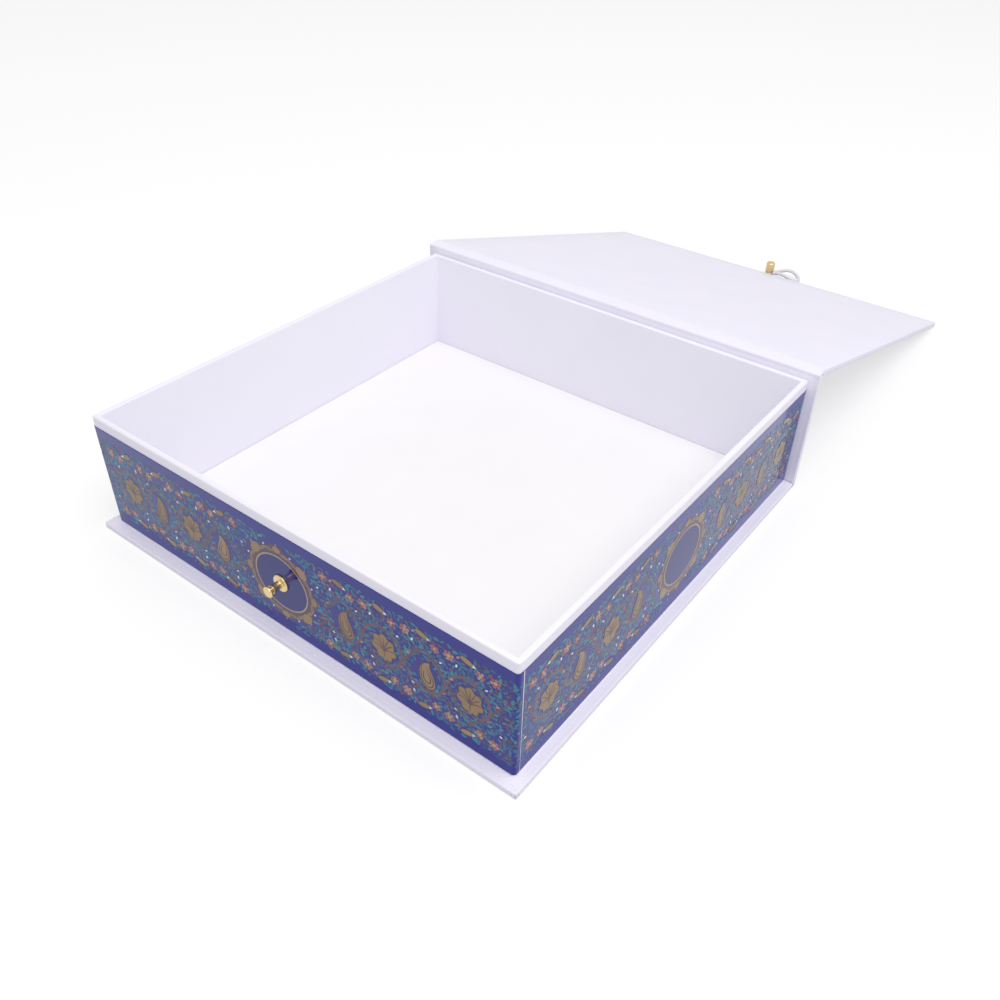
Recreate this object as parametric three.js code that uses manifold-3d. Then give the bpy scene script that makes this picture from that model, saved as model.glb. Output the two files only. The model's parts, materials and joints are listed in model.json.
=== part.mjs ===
// Book-style gift box: a paper-wrapped board tray glued into a hinged board case.
// A cord loop on the lid's free edge hooks over a brass stud on the tray's front wall.
// Origin: on the table, under the middle of the tray. +X right, +Y towards the spine, +Z up.

import * as THREE from 'three';
import { mergeVertices } from 'three/addons/utils/BufferGeometryUtils.js';
import Module from 'manifold-3d';

const wasm = await Module();
wasm.setup();

// Sheets and boards, in millimetres
const PAPER = 0.2; // wrapping, lining or printed sheet with its film
const GLUE = 0.05; // glue line between glued sheets
const STAY_TAPE = 0.15; // kraft tape that holds the tray's corners
const WALL_BOARD = 1.6;
const FLOOR_BOARD = 1.6;
const CASE_BOARD = 2;
const BOARD_ROUND = 0.3; // worn top edges of the wall boards

// Tray
const TRAY_WIDTH = 200; // outside, over the white wrap
const TRAY_DEPTH = 198;
const TRAY_HEIGHT = 50.3; // underside to rim
const CORNER_RADIUS = 1.2; // upright outer corners, over the wrap
const INNER_CORNER_RADIUS = 0.3;
const RIM_RADIUS = 0.5; // paper folded over the rim
const WRAP_TURN_UNDER = 12; // wrap glued under the floor
const WRAP_FOOT = 10; // wrap glued on the floor, under the lining
const WRAP_FOLD = 0.2; // fold along the tray's foot
const STAY_LEG = 15;
const LINING_CLEARANCE = 0.3;

// Printed band round the walls
const PRINT_LOW = 0.7; // above the tray's underside
const PRINT_HIGH = 46.1;
const PRINT_SEAM = 2; // front sheet's turn on to the side walls
const PRINT_SEAM_GAP = 0.15;
const PRINT_REAR_TURN = 12; // side sheets' turn under the spine

// Case: base, spine and lid
const SIDE_OVERHANG = 4.2;
const FRONT_OVERHANG = 4.7;
const COVER_TURN_IN = 15;
const COVER_EDGE_RADIUS = 0.45;
const COVER_CORNER_RADIUS = 0.8;
const LINER_INSET = 2;

// Hinge: a paper strip with a crease at the spine and a crease at the lid
const STRIP_LENGTH = 3.33; // crease to crease
const STRIP_OPEN_ANGLE = THREE.MathUtils.degToRad(4.9); // above level, lid laid open
const CREASE_RISE = 2.5; // lower crease above the rim
const CREASE_GAP = 0.3; // crease to the edge of each sheet
const SPINE_TOP_GAP = 0.7; // spine to lower crease
const LID_CLEARANCE = 0.3; // closed lid above the rim
const TABLE_CLEARANCE = 0.1; // open lid's edge above the table
const LOWER_FOLD_RADIUS = 1.5; // cover's fold under the spine

// Closure stud and its screw
const STUD_HEIGHT = 23.4; // above the tray's underside
const STUD_FLANGE_RADIUS = 3.4;
const STUD_FLANGE = 0.8;
const STUD_NECK_RADIUS = 1.5;
const STUD_NECK = 4.5;
const STUD_GROOVE_RADIUS = 1.15; // turned behind the head
const STUD_GROOVE = 0.6;
const STUD_HEAD_RADIUS = 2.2;
const STUD_HEAD = 1.2;
const STUD_EDGE = 0.25; // rounded rims of flange and head
const STUD_BORE_DEPTH = 4;
const SCREW_RADIUS = 0.9;
const SCREW_FIT = 0.1; // radial, in the stud
const SCREW_HOLE_FIT = 0.3; // radial, in the wall
const SCREW_HEAD_RADIUS = 2.5;
const SCREW_HEAD = 0.9;
const SCREW_REACH = 3; // into the stud

// Lid tab, brass post and cord loop
const TAB = 0.6;
const TAB_WIDTH = 5;
const TAB_ROOT = 10; // inside the lid board
const TAB_REACH = 7;
const TAB_CLEARANCE = 0.1;
const POST_OFFSET = 3.6; // post's axis beyond the lid's edge
const POST_RADIUS = 2.6;
const POST_HEIGHT = 7.2;
const POST_DOME = 0.9;
const POST_CHAMFER = 0.3;
const POST_TAIL_RADIUS = 0.9;
const POST_HOLE_FIT = 0.1;
const RIVET_HEAD_RADIUS = 1.5;
const RIVET_HEAD = 0.25;
const WASHER_RADIUS = 2.3;
const WASHER = 0.3;
const CORD_RADIUS = 1;
const CORD_SIDES = 8;
const CORD_STEPS = 26;

// Sizes that follow from the driving dimensions
const SHEET = PAPER + GLUE;
const CASE_EDGE = CASE_BOARD + 2 * SHEET; // case board with its cover folded round it
const CASE_FACE = CASE_EDGE / 2 + SHEET; // middle of a case board to its liner's face
const CASE_WIDTH = TRAY_WIDTH + 2 * SIDE_OVERHANG;
const TRAY_Z = CASE_EDGE / 2 + CASE_FACE + GLUE;
const RIM_Z = TRAY_Z + TRAY_HEIGHT;
const FRONT_Y = -TRAY_DEPTH / 2;
const REAR_Y = TRAY_DEPTH / 2;
const EDGE_Y = FRONT_Y - FRONT_OVERHANG; // front edge of the base and of the closed lid
const WALL_SKIN = PAPER + GLUE + STAY_TAPE + GLUE; // outside of a wall to its board
const WALL = WALL_SKIN + WALL_BOARD + SHEET;
const BOARD_INNER = WALL_SKIN + WALL_BOARD;
const BOARD_LOW_Z = TRAY_Z + SHEET;
const BOARD_HIGH_Z = RIM_Z - SHEET;
const FLOOR_TOP_Z = BOARD_LOW_Z + FLOOR_BOARD;
const SPINE_Y = REAR_Y + SHEET + GLUE + CASE_FACE; // middle of the spine board
const SPINE_LOW_Z = LOWER_FOLD_RADIUS + GLUE;
const CREASE_Z = RIM_Z + CREASE_RISE;
const SPINE_LENGTH = CREASE_Z - SPINE_TOP_GAP - SPINE_LOW_Z;

// Hinge geometry: the closed lid lies level, the open one rests its edge on the table
const CLOSED_RISE = LID_CLEARANCE + CASE_FACE - CREASE_RISE;
const CLOSED_RUN = Math.sqrt(STRIP_LENGTH ** 2 - CLOSED_RISE ** 2);
const LID_LENGTH = SPINE_Y - CLOSED_RUN - EDGE_Y; // upper crease to free edge
const LID_CREASE_Y = SPINE_Y + STRIP_LENGTH * Math.cos(STRIP_OPEN_ANGLE);
const LID_CREASE_Z = CREASE_Z + STRIP_LENGTH * Math.sin(STRIP_OPEN_ANGLE);
const LID_TILT = Math.asin((LID_CREASE_Z - TABLE_CLEARANCE) / Math.hypot(LID_LENGTH, CASE_EDGE / 2))
  - Math.atan2(CASE_EDGE / 2, LID_LENGTH);
const LID_EDGE_Z = TABLE_CLEARANCE + (CASE_EDGE / 2) * Math.cos(LID_TILT); // middle of the free edge

// Materials
const greyboard = new THREE.MeshStandardMaterial({ color: 0x8f8578, roughness: 0.9 });
const kraft = new THREE.MeshStandardMaterial({ color: 0xb48c5c, roughness: 0.85 });
const whitePaper = new THREE.MeshStandardMaterial({ color: 0xf3f1f7, roughness: 0.5 });
const printedPaper = new THREE.MeshStandardMaterial({ color: 0x33387c, roughness: 0.22 });
const brass = new THREE.MeshStandardMaterial({ color: 0xc9a24e, roughness: 0.25, metalness: 1 });
const whiteCord = new THREE.MeshStandardMaterial({ color: 0xefedee, roughness: 0.85 });

function part(parent, name, geometry, material) {
  const mesh = new THREE.Mesh(geometry, material);
  mesh.name = name;
  parent.add(mesh);
  return mesh;
}

// Extrusions: a plan outline upwards, and an upright section along X or Y
const AXIS_X = new THREE.Vector3(1, 0, 0);
const AXIS_Y = new THREE.Vector3(0, 1, 0);
const AXIS_Z = new THREE.Vector3(0, 0, 1);
const CURVE_SEGMENTS = 2;

function extrude(shape, depth) {
  return new THREE.ExtrudeGeometry(shape, { depth, bevelEnabled: false, curveSegments: CURVE_SEGMENTS });
}

function alongZ(shape, low, high) {
  return extrude(shape, high - low).translate(0, 0, low);
}

function alongX(shape, low, high) {
  const turn = new THREE.Matrix4().makeBasis(AXIS_Y, AXIS_Z, AXIS_X);
  return extrude(shape, high - low).applyMatrix4(turn).translate(low, 0, 0);
}

function alongY(shape, low, high) {
  const turn = new THREE.Matrix4().makeBasis(AXIS_X, AXIS_Z, AXIS_Y.clone().negate());
  return extrude(shape, high - low).applyMatrix4(turn).translate(0, high, 0);
}

function block(low, high) {
  const size = high.map((value, axis) => value - low[axis]);
  const middle = high.map((value, axis) => (value + low[axis]) / 2);
  return new THREE.BoxGeometry(...size).translate(...middle);
}

function rod(radius, low, high) {
  const segments = 24;
  const length = high - low;
  const rise = (high + low) / 2;
  return new THREE.CylinderGeometry(radius, radius, length, segments).translate(0, rise, 0);
}

// Joins and cuts
function solid(geometry) {
  const bare = geometry.clone();
  bare.deleteAttribute('normal');
  bare.deleteAttribute('uv');
  const merged = mergeVertices(bare);
  return new wasm.Manifold(new wasm.Mesh({
    numProp: 3,
    vertProperties: new Float32Array(merged.attributes.position.array),
    triVerts: new Uint32Array(merged.index.array),
  }));
}

function shell(body) {
  const { vertProperties, triVerts } = body.getMesh();
  const geometry = new THREE.BufferGeometry();
  geometry.setAttribute('position', new THREE.BufferAttribute(vertProperties, 3));
  geometry.setIndex(new THREE.BufferAttribute(triVerts, 1));
  geometry.computeVertexNormals();
  return geometry;
}

function cut(geometry, ...tools) {
  return shell(tools.reduce((body, tool) => body.subtract(solid(tool)), solid(geometry)));
}

// Plan outline of the tray, set in from its outer face
function planCorner(inset) {
  const radius = Math.max(CORNER_RADIUS - inset, INNER_CORNER_RADIUS);
  return { x: TRAY_WIDTH / 2 - inset, y: TRAY_DEPTH / 2 - inset, radius };
}

function planLoop(inset) {
  const { x, y, radius } = planCorner(inset);
  const outline = new THREE.Shape();
  outline.absarc(x - radius, y - radius, radius, 0, Math.PI / 2, false);
  outline.absarc(radius - x, y - radius, radius, Math.PI / 2, Math.PI, false);
  outline.absarc(radius - x, radius - y, radius, Math.PI, Math.PI * 1.5, false);
  outline.absarc(x - radius, radius - y, radius, Math.PI * 1.5, Math.PI * 2, false);
  const points = outline.getPoints(CURVE_SEGMENTS);
  if (points[0].distanceTo(points.at(-1)) < PAPER / 100) points.pop();
  return points;
}

// Folded sheet that runs all the way round the tray: each section point is [inset, height]
function sweepRound(section) {
  const loops = section.map(([inset, z]) => planLoop(inset).map((point) => [point.x, point.y, z]));
  const count = loops[0].length;
  const index = [];
  for (let i = 0; i < loops.length; i += 1) {
    const next = (i + 1) % loops.length;
    for (let j = 0; j < count; j += 1) {
      const after = (j + 1) % count;
      const [a, b] = [i * count + j, i * count + after];
      const [c, d] = [next * count + j, next * count + after];
      index.push(a, b, c, b, d, c);
    }
  }
  const geometry = new THREE.BufferGeometry();
  geometry.setAttribute('position', new THREE.Float32BufferAttribute(loops.flat(2), 3));
  geometry.setIndex(index);
  geometry.computeVertexNormals();
  return geometry;
}

// Quarter turn of the rim in the wrap's section, about a centre at the given inset
function rimArc(inset, radius, from, to) {
  const steps = 4;
  return Array.from({ length: steps + 1 }, (_, i) => {
    const angle = THREE.MathUtils.degToRad(from + ((to - from) * i) / steps);
    return [inset - radius * Math.cos(angle), RIM_Z - RIM_RADIUS + radius * Math.sin(angle)];
  });
}

function wrapSection() {
  const innerRadius = RIM_RADIUS - PAPER;
  const foot = FLOOR_TOP_Z + GLUE;
  const outside = [
    [WRAP_TURN_UNDER, TRAY_Z],
    [WRAP_FOLD, TRAY_Z],
    [0, TRAY_Z + WRAP_FOLD],
    ...rimArc(RIM_RADIUS, RIM_RADIUS, 0, 90),
    ...rimArc(WALL - RIM_RADIUS, RIM_RADIUS, 90, 180),
    [WALL, foot + PAPER],
    [WALL + WRAP_FOOT, foot + PAPER],
  ];
  const boardSide = [
    [WALL + WRAP_FOOT, foot],
    [WALL - PAPER, foot],
    ...rimArc(WALL - RIM_RADIUS, innerRadius, 180, 90),
    ...rimArc(RIM_RADIUS, innerRadius, 90, 0),
    [PAPER, TRAY_Z + PAPER],
    [WRAP_TURN_UNDER, TRAY_Z + PAPER],
  ];
  return [...outside, ...boardSide];
}

// Upright section of a wall board with worn top edges, between two places across the wall
function boardSection(from, to) {
  const outline = new THREE.Shape();
  const shoulder = BOARD_HIGH_Z - BOARD_ROUND;
  outline.moveTo(from, BOARD_LOW_Z);
  outline.lineTo(to, BOARD_LOW_Z);
  outline.absarc(to - BOARD_ROUND, shoulder, BOARD_ROUND, 0, Math.PI / 2, false);
  outline.absarc(from + BOARD_ROUND, shoulder, BOARD_ROUND, Math.PI / 2, Math.PI, false);
  outline.closePath();
  return outline;
}

// Strip of sheet round one corner of the tray, as a plan outline in the +X +Y quarter
function cornerBand(outerInset, innerInset, legX, legY, signX = 1, signY = 1) {
  const outer = planCorner(outerInset);
  const inner = planCorner(innerInset);
  const endX = TRAY_WIDTH / 2 - legX;
  const endY = TRAY_DEPTH / 2 - legY;
  const band = new THREE.Shape();
  band.moveTo(outer.x, endY);
  band.absarc(outer.x - outer.radius, outer.y - outer.radius, outer.radius, 0, Math.PI / 2, false);
  band.lineTo(endX, outer.y);
  band.lineTo(endX, inner.y);
  band.absarc(inner.x - inner.radius, inner.y - inner.radius, inner.radius, Math.PI / 2, 0, true);
  band.lineTo(inner.x, endY);
  band.closePath();
  const points = band.getPoints(CURVE_SEGMENTS);
  return new THREE.Shape(points.map((point) => new THREE.Vector2(point.x * signX, point.y * signY)));
}

// Front printed sheet: across the front wall and a little way round both corners
function frontBand(outerInset, innerInset) {
  const outer = planCorner(outerInset);
  const inner = planCorner(innerInset);
  const end = FRONT_Y + PRINT_SEAM;
  const quarter = Math.PI / 2;
  const turn = (path, corner, side, from, to, clockwise) => {
    const centreX = side * (corner.x - corner.radius);
    path.absarc(centreX, corner.radius - corner.y, corner.radius, from, to, clockwise);
  };
  const band = new THREE.Shape();
  band.moveTo(outer.x, end);
  turn(band, outer, 1, 0, -quarter, true);
  turn(band, outer, -1, -quarter, -2 * quarter, true);
  band.lineTo(-outer.x, end);
  band.lineTo(-inner.x, end);
  turn(band, inner, -1, -2 * quarter, -quarter, false);
  turn(band, inner, 1, -quarter, 0, false);
  band.lineTo(inner.x, end);
  band.closePath();
  return band;
}

// Turned parts lie along their own axis: radius and height points, or arcs, in a profile
function turned(profile) {
  const segments = 24;
  const divisions = 2;
  const points = profile.getPoints(divisions);
  return new THREE.LatheGeometry(points, segments);
}

function roundedDisc(profile, radius, low, high) {
  profile.lineTo(radius - STUD_EDGE, low);
  profile.absarc(radius - STUD_EDGE, low + STUD_EDGE, STUD_EDGE, -Math.PI / 2, 0, false);
  profile.absarc(radius - STUD_EDGE, high - STUD_EDGE, STUD_EDGE, 0, Math.PI / 2, false);
}

const box = new THREE.Group();

// Tray: boards
const boardSpanX = TRAY_WIDTH / 2 - BOARD_INNER - GLUE;
const boardSpanY = TRAY_DEPTH / 2 - BOARD_INNER - GLUE;

function tray() {
  part(box, 'tray_floor_board', block(
    [-boardSpanX, -boardSpanY, BOARD_LOW_Z],
    [boardSpanX, boardSpanY, FLOOR_TOP_Z],
  ), greyboard);

  const endSection = boardSection(REAR_Y - BOARD_INNER, REAR_Y - WALL_SKIN);
  const endBoard = alongX(endSection, -boardSpanX, boardSpanX);
  part(box, 'rear_wall_board', endBoard, greyboard);
  const seat = [0, FRONT_Y + BOARD_INNER, TRAY_Z + STUD_HEIGHT];
  const hole = rod(SCREW_RADIUS + SCREW_HOLE_FIT, -TRAY_DEPTH, TRAY_DEPTH).translate(...seat);
  const recess = rod(
    SCREW_HEAD_RADIUS + SCREW_FIT,
    -(SCREW_HEAD + GLUE + SCREW_FIT),
    WALL,
  ).translate(...seat);
  const frontSection = boardSection(FRONT_Y + WALL_SKIN, FRONT_Y + BOARD_INNER);
  const frontBoard = alongX(frontSection, -boardSpanX, boardSpanX);
  part(box, 'front_wall_board', cut(frontBoard, hole, recess), greyboard);

  const plan = solid(alongZ(new THREE.Shape(planLoop(WALL_SKIN)), 0, RIM_Z));
  for (const [side, sign] of [['left', -1], ['right', 1]]) {
    const near = sign * (TRAY_WIDTH / 2 - BOARD_INNER);
    const far = sign * (TRAY_WIDTH / 2 - WALL_SKIN);
    const section = boardSection(Math.min(near, far), Math.max(near, far));
    const board = solid(alongY(section, FRONT_Y, REAR_Y)).intersect(plan);
    part(box, `${side}_wall_board`, shell(board), greyboard);
    for (const [end, signY] of [['front', -1], ['rear', 1]]) {
      const stay = cornerBand(SHEET, SHEET + STAY_TAPE, STAY_LEG, STAY_LEG, sign, signY);
      part(box, `corner_stay_${end}_${side}`, alongZ(stay, BOARD_LOW_Z, BOARD_HIGH_Z - BOARD_ROUND), kraft);
    }
  }
}

// Tray: papers
function trayPapers() {
  const screwWay = rod(SCREW_RADIUS + SCREW_HOLE_FIT, 0, WALL)
    .translate(0, FRONT_Y + WALL_SKIN - WALL, TRAY_Z + STUD_HEIGHT);
  part(box, 'tray_wrap', cut(sweepRound(wrapSection()), screwWay), whitePaper);

  const liningX = TRAY_WIDTH / 2 - WALL - LINING_CLEARANCE;
  const liningY = TRAY_DEPTH / 2 - WALL - LINING_CLEARANCE;
  const liningZ = FLOOR_TOP_Z + SHEET + GLUE;
  part(box, 'floor_lining', block(
    [-liningX, -liningY, liningZ],
    [liningX, liningY, liningZ + PAPER],
  ), whitePaper);

  const low = TRAY_Z + PRINT_LOW;
  const high = TRAY_Z + PRINT_HIGH;
  const frontSheet = alongZ(frontBand(-SHEET, -GLUE), low, high);
  part(box, 'front_print', cut(frontSheet, screwWay), printedPaper);
  const sideLeg = TRAY_DEPTH - PRINT_SEAM - PRINT_SEAM_GAP;
  for (const [side, sign] of [['left', -1], ['right', 1]]) {
    const sheet = cornerBand(-SHEET, -GLUE, PRINT_REAR_TURN, sideLeg, sign);
    part(box, `${side}_print`, alongZ(sheet, low, high), printedPaper);
  }
}

// A case board with its cover folded round it and its liner.
// Lies in its own group: Y runs from the hinge edge, +Z is the liner's side, the board's middle at Z 0.
function caseBoard(group, name, start, end, foldsAtEnd, slot) {
  const halfWidth = CASE_WIDTH / 2;
  const boardX = halfWidth - SHEET;
  const boardEnd = foldsAtEnd ? end - SHEET : end;
  const past = COVER_TURN_IN; // cuts run this far past open edges
  const board = block([-boardX, start, -CASE_BOARD / 2], [boardX, boardEnd, CASE_BOARD / 2]);
  part(group, `${name}_board`, slot ? cut(board, slot) : board, greyboard);

  const outline = new THREE.Shape();
  const reach = foldsAtEnd ? end : end + past;
  const radius = COVER_CORNER_RADIUS;
  outline.moveTo(-halfWidth, start - past);
  outline.lineTo(halfWidth, start - past);
  outline.absarc(halfWidth - radius, reach - radius, radius, 0, Math.PI / 2, false);
  outline.absarc(radius - halfWidth, reach - radius, radius, Math.PI / 2, Math.PI, false);
  outline.closePath();
  const slab = new THREE.ExtrudeGeometry(outline, {
    depth: CASE_EDGE - 2 * COVER_EDGE_RADIUS,
    bevelThickness: COVER_EDGE_RADIUS,
    bevelSize: COVER_EDGE_RADIUS,
    bevelOffset: -COVER_EDGE_RADIUS,
    bevelSegments: 3,
    curveSegments: CURVE_SEGMENTS,
  }).translate(0, 0, COVER_EDGE_RADIUS - CASE_EDGE / 2);
  const inside = CASE_BOARD / 2 + GLUE;
  const room = block(
    [-boardX - GLUE, start - 2 * past, -inside],
    [boardX + GLUE, foldsAtEnd ? boardEnd + GLUE : end + 2 * past, inside],
  );
  const window = block(
    [COVER_TURN_IN - halfWidth, start - 2 * past, 0],
    [halfWidth - COVER_TURN_IN, foldsAtEnd ? end - COVER_TURN_IN : end + 2 * past, CASE_EDGE],
  );
  const span = block([-halfWidth, start, -CASE_EDGE], [halfWidth, end, CASE_EDGE]);
  let cover = solid(slab).subtract(solid(room)).subtract(solid(window)).intersect(solid(span));
  if (slot) cover = cover.subtract(solid(slot));
  part(group, `${name}_cover`, shell(cover), whitePaper);

  part(group, `${name}_liner`, block(
    [LINER_INSET - halfWidth, start, CASE_EDGE / 2 + GLUE],
    [halfWidth - LINER_INSET, foldsAtEnd ? end - LINER_INSET : end, CASE_FACE],
  ), whitePaper);
}

function baseAndSpine() {
  const base = new THREE.Group();
  base.position.set(0, REAR_Y, CASE_EDGE / 2);
  base.rotation.z = Math.PI;
  caseBoard(base, 'base', 0, REAR_Y - EDGE_Y, true);
  box.add(base);

  const spine = new THREE.Group();
  spine.position.set(0, SPINE_Y, SPINE_LOW_Z);
  spine.rotation.x = Math.PI / 2;
  caseBoard(spine, 'spine', 0, SPINE_LENGTH, false);
  box.add(spine);

  // The cover's fold under the spine, from the base's underside to the spine's back
  const back = SPINE_Y + CASE_EDGE / 2;
  const centreY = back - LOWER_FOLD_RADIUS;
  const front = REAR_Y + GLUE;
  const fold = new THREE.Shape();
  fold.moveTo(front, 0);
  fold.absarc(centreY, LOWER_FOLD_RADIUS, LOWER_FOLD_RADIUS, -Math.PI / 2, 0, false);
  fold.absarc(centreY, LOWER_FOLD_RADIUS, LOWER_FOLD_RADIUS - PAPER, 0, -Math.PI / 2, true);
  fold.lineTo(front, PAPER);
  fold.closePath();
  part(box, 'lower_joint_strip', alongX(fold, -CASE_WIDTH / 2, CASE_WIDTH / 2), whitePaper);
}

// Hinge strip: cover paper and liner paper glued back to back between the two creases
function hingeStrip() {
  const strip = new THREE.Group();
  strip.position.set(0, SPINE_Y, CREASE_Z);
  strip.rotation.x = STRIP_OPEN_ANGLE;
  const [start, end] = [CREASE_GAP, STRIP_LENGTH - CREASE_GAP];
  const linerX = CASE_WIDTH / 2 - LINER_INSET;
  part(strip, 'hinge_cover_strip', block(
    [-CASE_WIDTH / 2, start, -GLUE / 2 - PAPER],
    [CASE_WIDTH / 2, end, -GLUE / 2],
  ), whitePaper);
  part(strip, 'hinge_liner_strip', block(
    [-linerX, start, GLUE / 2],
    [linerX, end, GLUE / 2 + PAPER],
  ), whitePaper);
  box.add(strip);
}

// Tab: glued in a slot in the lid's free edge, bent level where it leaves the tilted lid
function tabGeometry() {
  const half = TAB / 2;
  const bend = half * Math.tan(LID_TILT / 2);
  const [run, rise] = [TAB_REACH * Math.cos(LID_TILT), TAB_REACH * Math.sin(LID_TILT)];
  const [leanY, leanZ] = [half * Math.sin(LID_TILT), half * Math.cos(LID_TILT)];
  const section = new THREE.Shape();
  section.moveTo(LID_LENGTH - TAB_ROOT, -half);
  section.lineTo(LID_LENGTH + bend, -half);
  section.lineTo(LID_LENGTH + run + leanY, rise - leanZ);
  section.lineTo(LID_LENGTH + run - leanY, rise + leanZ);
  section.lineTo(LID_LENGTH - bend, half);
  section.lineTo(LID_LENGTH - TAB_ROOT, half);
  section.closePath();
  const outline = new THREE.Shape();
  const radius = TAB_WIDTH / 2;
  outline.moveTo(-radius, LID_LENGTH - 2 * TAB_ROOT);
  outline.lineTo(radius, LID_LENGTH - 2 * TAB_ROOT);
  outline.absarc(0, LID_LENGTH + run - radius, radius, 0, Math.PI, false);
  outline.closePath();
  const hole = rod(POST_TAIL_RADIUS + POST_HOLE_FIT, -TAB_REACH, TAB_REACH)
    .rotateX(Math.PI / 2)
    .translate(0, POST_OFFSET, 0)
    .rotateX(LID_TILT)
    .translate(0, LID_LENGTH, 0);
  const strap = solid(alongX(section, -radius, radius));
  return shell(strap.intersect(solid(alongZ(outline, -TAB_REACH, TAB_REACH))).subtract(solid(hole)));
}

// Brass post, riveted through the tab; its axis is its own Y
function postGeometry() {
  const seat = TAB / 2 + GLUE;
  const tail = seat + WASHER + GLUE;
  const top = seat + POST_HEIGHT;
  const crown = POST_RADIUS - POST_DOME;
  const profile = new THREE.Path();
  profile.moveTo(0, -tail - RIVET_HEAD);
  profile.lineTo(RIVET_HEAD_RADIUS, -tail - RIVET_HEAD);
  profile.lineTo(RIVET_HEAD_RADIUS, -tail);
  profile.lineTo(POST_TAIL_RADIUS, -tail);
  profile.lineTo(POST_TAIL_RADIUS, seat);
  profile.lineTo(POST_RADIUS - POST_CHAMFER, seat);
  profile.lineTo(POST_RADIUS, seat + POST_CHAMFER);
  profile.absarc(crown, top - POST_DOME, POST_DOME, 0, Math.PI / 2, false);
  profile.lineTo(0, top);
  return turned(profile);
}

function washerGeometry() {
  const bore = POST_TAIL_RADIUS + POST_HOLE_FIT;
  const high = -(TAB / 2 + GLUE);
  const low = high - WASHER;
  const profile = new THREE.Path();
  profile.moveTo(bore, low);
  profile.lineTo(WASHER_RADIUS, low);
  profile.lineTo(WASHER_RADIUS, high);
  profile.lineTo(bore, high);
  profile.lineTo(bore, low);
  return turned(profile);
}

// Cord loop, arched from the post down to the table: x from the post's axis, y beyond the lid's edge, z above
// the table
const LOOP_ROUTE = [
  [2.9, 4.75, 2.75], [4.4, 5.1, 3.1], [6.2, 6.2, 3.7], [8.3, 7.6, 4.2], [10.6, 8.9, 4.3],
  [12.9, 9.5, 3.8], [15.2, 9.3, 2.9], [17.2, 8.2, 1.9], [18.3, 6.4, 1.25], [17.9, 4.5, 1.05],
  [16.2, 3.2, 1.3], [13.8, 2.7, 2.1], [11.3, 2.6, 2.9], [8.9, 2.6, 3.4], [6.6, 2.6, 3.5],
  [4.6, 2.5, 3.1], [2.9, 2.45, 2.75],
];

function loopGeometry() {
  const section = new THREE.Shape(Array.from({ length: CORD_SIDES }, (_, i) => {
    const angle = (2 * Math.PI * (i + 0.5)) / CORD_SIDES;
    return new THREE.Vector2(CORD_RADIUS * Math.cos(angle), CORD_RADIUS * Math.sin(angle));
  }));
  const route = new THREE.CatmullRomCurve3(LOOP_ROUTE.map((point) => new THREE.Vector3(...point)));
  return new THREE.ExtrudeGeometry(section, { steps: CORD_STEPS, extrudePath: route });
}

function lid() {
  const group = new THREE.Group();
  group.position.set(0, LID_CREASE_Y, LID_CREASE_Z);
  group.rotation.x = -LID_TILT;
  const slotX = TAB_WIDTH / 2 + TAB_CLEARANCE;
  const slotZ = TAB / 2 + TAB_CLEARANCE;
  const slot = block(
    [-slotX, LID_LENGTH - TAB_ROOT - TAB_CLEARANCE, -slotZ],
    [slotX, LID_LENGTH + TAB_REACH, slotZ],
  );
  caseBoard(group, 'lid', CREASE_GAP, LID_LENGTH, true, slot);
  part(group, 'closure_tab', tabGeometry(), whitePaper);

  // Level again at the free edge: the post stands upright and the loop comes down on the table
  const closure = new THREE.Group();
  closure.position.set(0, LID_LENGTH, 0);
  closure.rotation.x = LID_TILT;
  const post = part(closure, 'loop_post', postGeometry(), brass);
  const washer = part(closure, 'post_washer', washerGeometry(), brass);
  for (const piece of [post, washer]) {
    piece.position.y = POST_OFFSET;
    piece.rotation.x = Math.PI / 2;
  }
  const loop = part(closure, 'closure_loop', loopGeometry(), whiteCord);
  loop.position.z = -LID_EDGE_Z;
  group.add(closure);
  box.add(group);
}

// Closure stud on the front wall, its screw let into the wall board from inside
function stud() {
  const neckStart = STUD_FLANGE;
  const headStart = neckStart + STUD_NECK;
  const bore = SCREW_RADIUS + SCREW_FIT;
  const profile = new THREE.Path();
  profile.moveTo(0, STUD_BORE_DEPTH);
  profile.lineTo(bore, STUD_BORE_DEPTH);
  profile.lineTo(bore, 0);
  roundedDisc(profile, STUD_FLANGE_RADIUS, 0, neckStart);
  profile.lineTo(STUD_NECK_RADIUS, neckStart);
  profile.lineTo(STUD_NECK_RADIUS, headStart - STUD_GROOVE);
  profile.lineTo(STUD_GROOVE_RADIUS, headStart - STUD_GROOVE);
  profile.lineTo(STUD_GROOVE_RADIUS, headStart);
  roundedDisc(profile, STUD_HEAD_RADIUS, headStart, headStart + STUD_HEAD);
  profile.lineTo(0, headStart + STUD_HEAD);
  const body = part(box, 'closure_stud', turned(profile), brass);
  body.position.set(0, FRONT_Y - SHEET - GLUE, TRAY_Z + STUD_HEIGHT);

  const length = BOARD_INNER + SHEET + GLUE + SCREW_REACH;
  const shank = new THREE.Path();
  shank.moveTo(0, GLUE);
  shank.lineTo(SCREW_HEAD_RADIUS, GLUE);
  shank.lineTo(SCREW_HEAD_RADIUS, GLUE + SCREW_HEAD);
  shank.lineTo(SCREW_RADIUS, GLUE + SCREW_HEAD);
  shank.lineTo(SCREW_RADIUS, length);
  shank.lineTo(0, length);
  const screw = part(box, 'stud_screw', turned(shank), brass);
  screw.position.set(0, FRONT_Y + BOARD_INNER, TRAY_Z + STUD_HEIGHT);
  for (const piece of [body, screw]) piece.rotation.x = Math.PI;
}

tray();
trayPapers();
baseAndSpine();
hingeStrip();
lid();
stud();

export default box;
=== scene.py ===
# Dresses the book-style gift box: its papers, printed band, hinge, brass closure and cord loop, with floor,
# light and camera. Metres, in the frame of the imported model: origin on the table under the tray, +Y towards
# the spine, +Z up.

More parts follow.
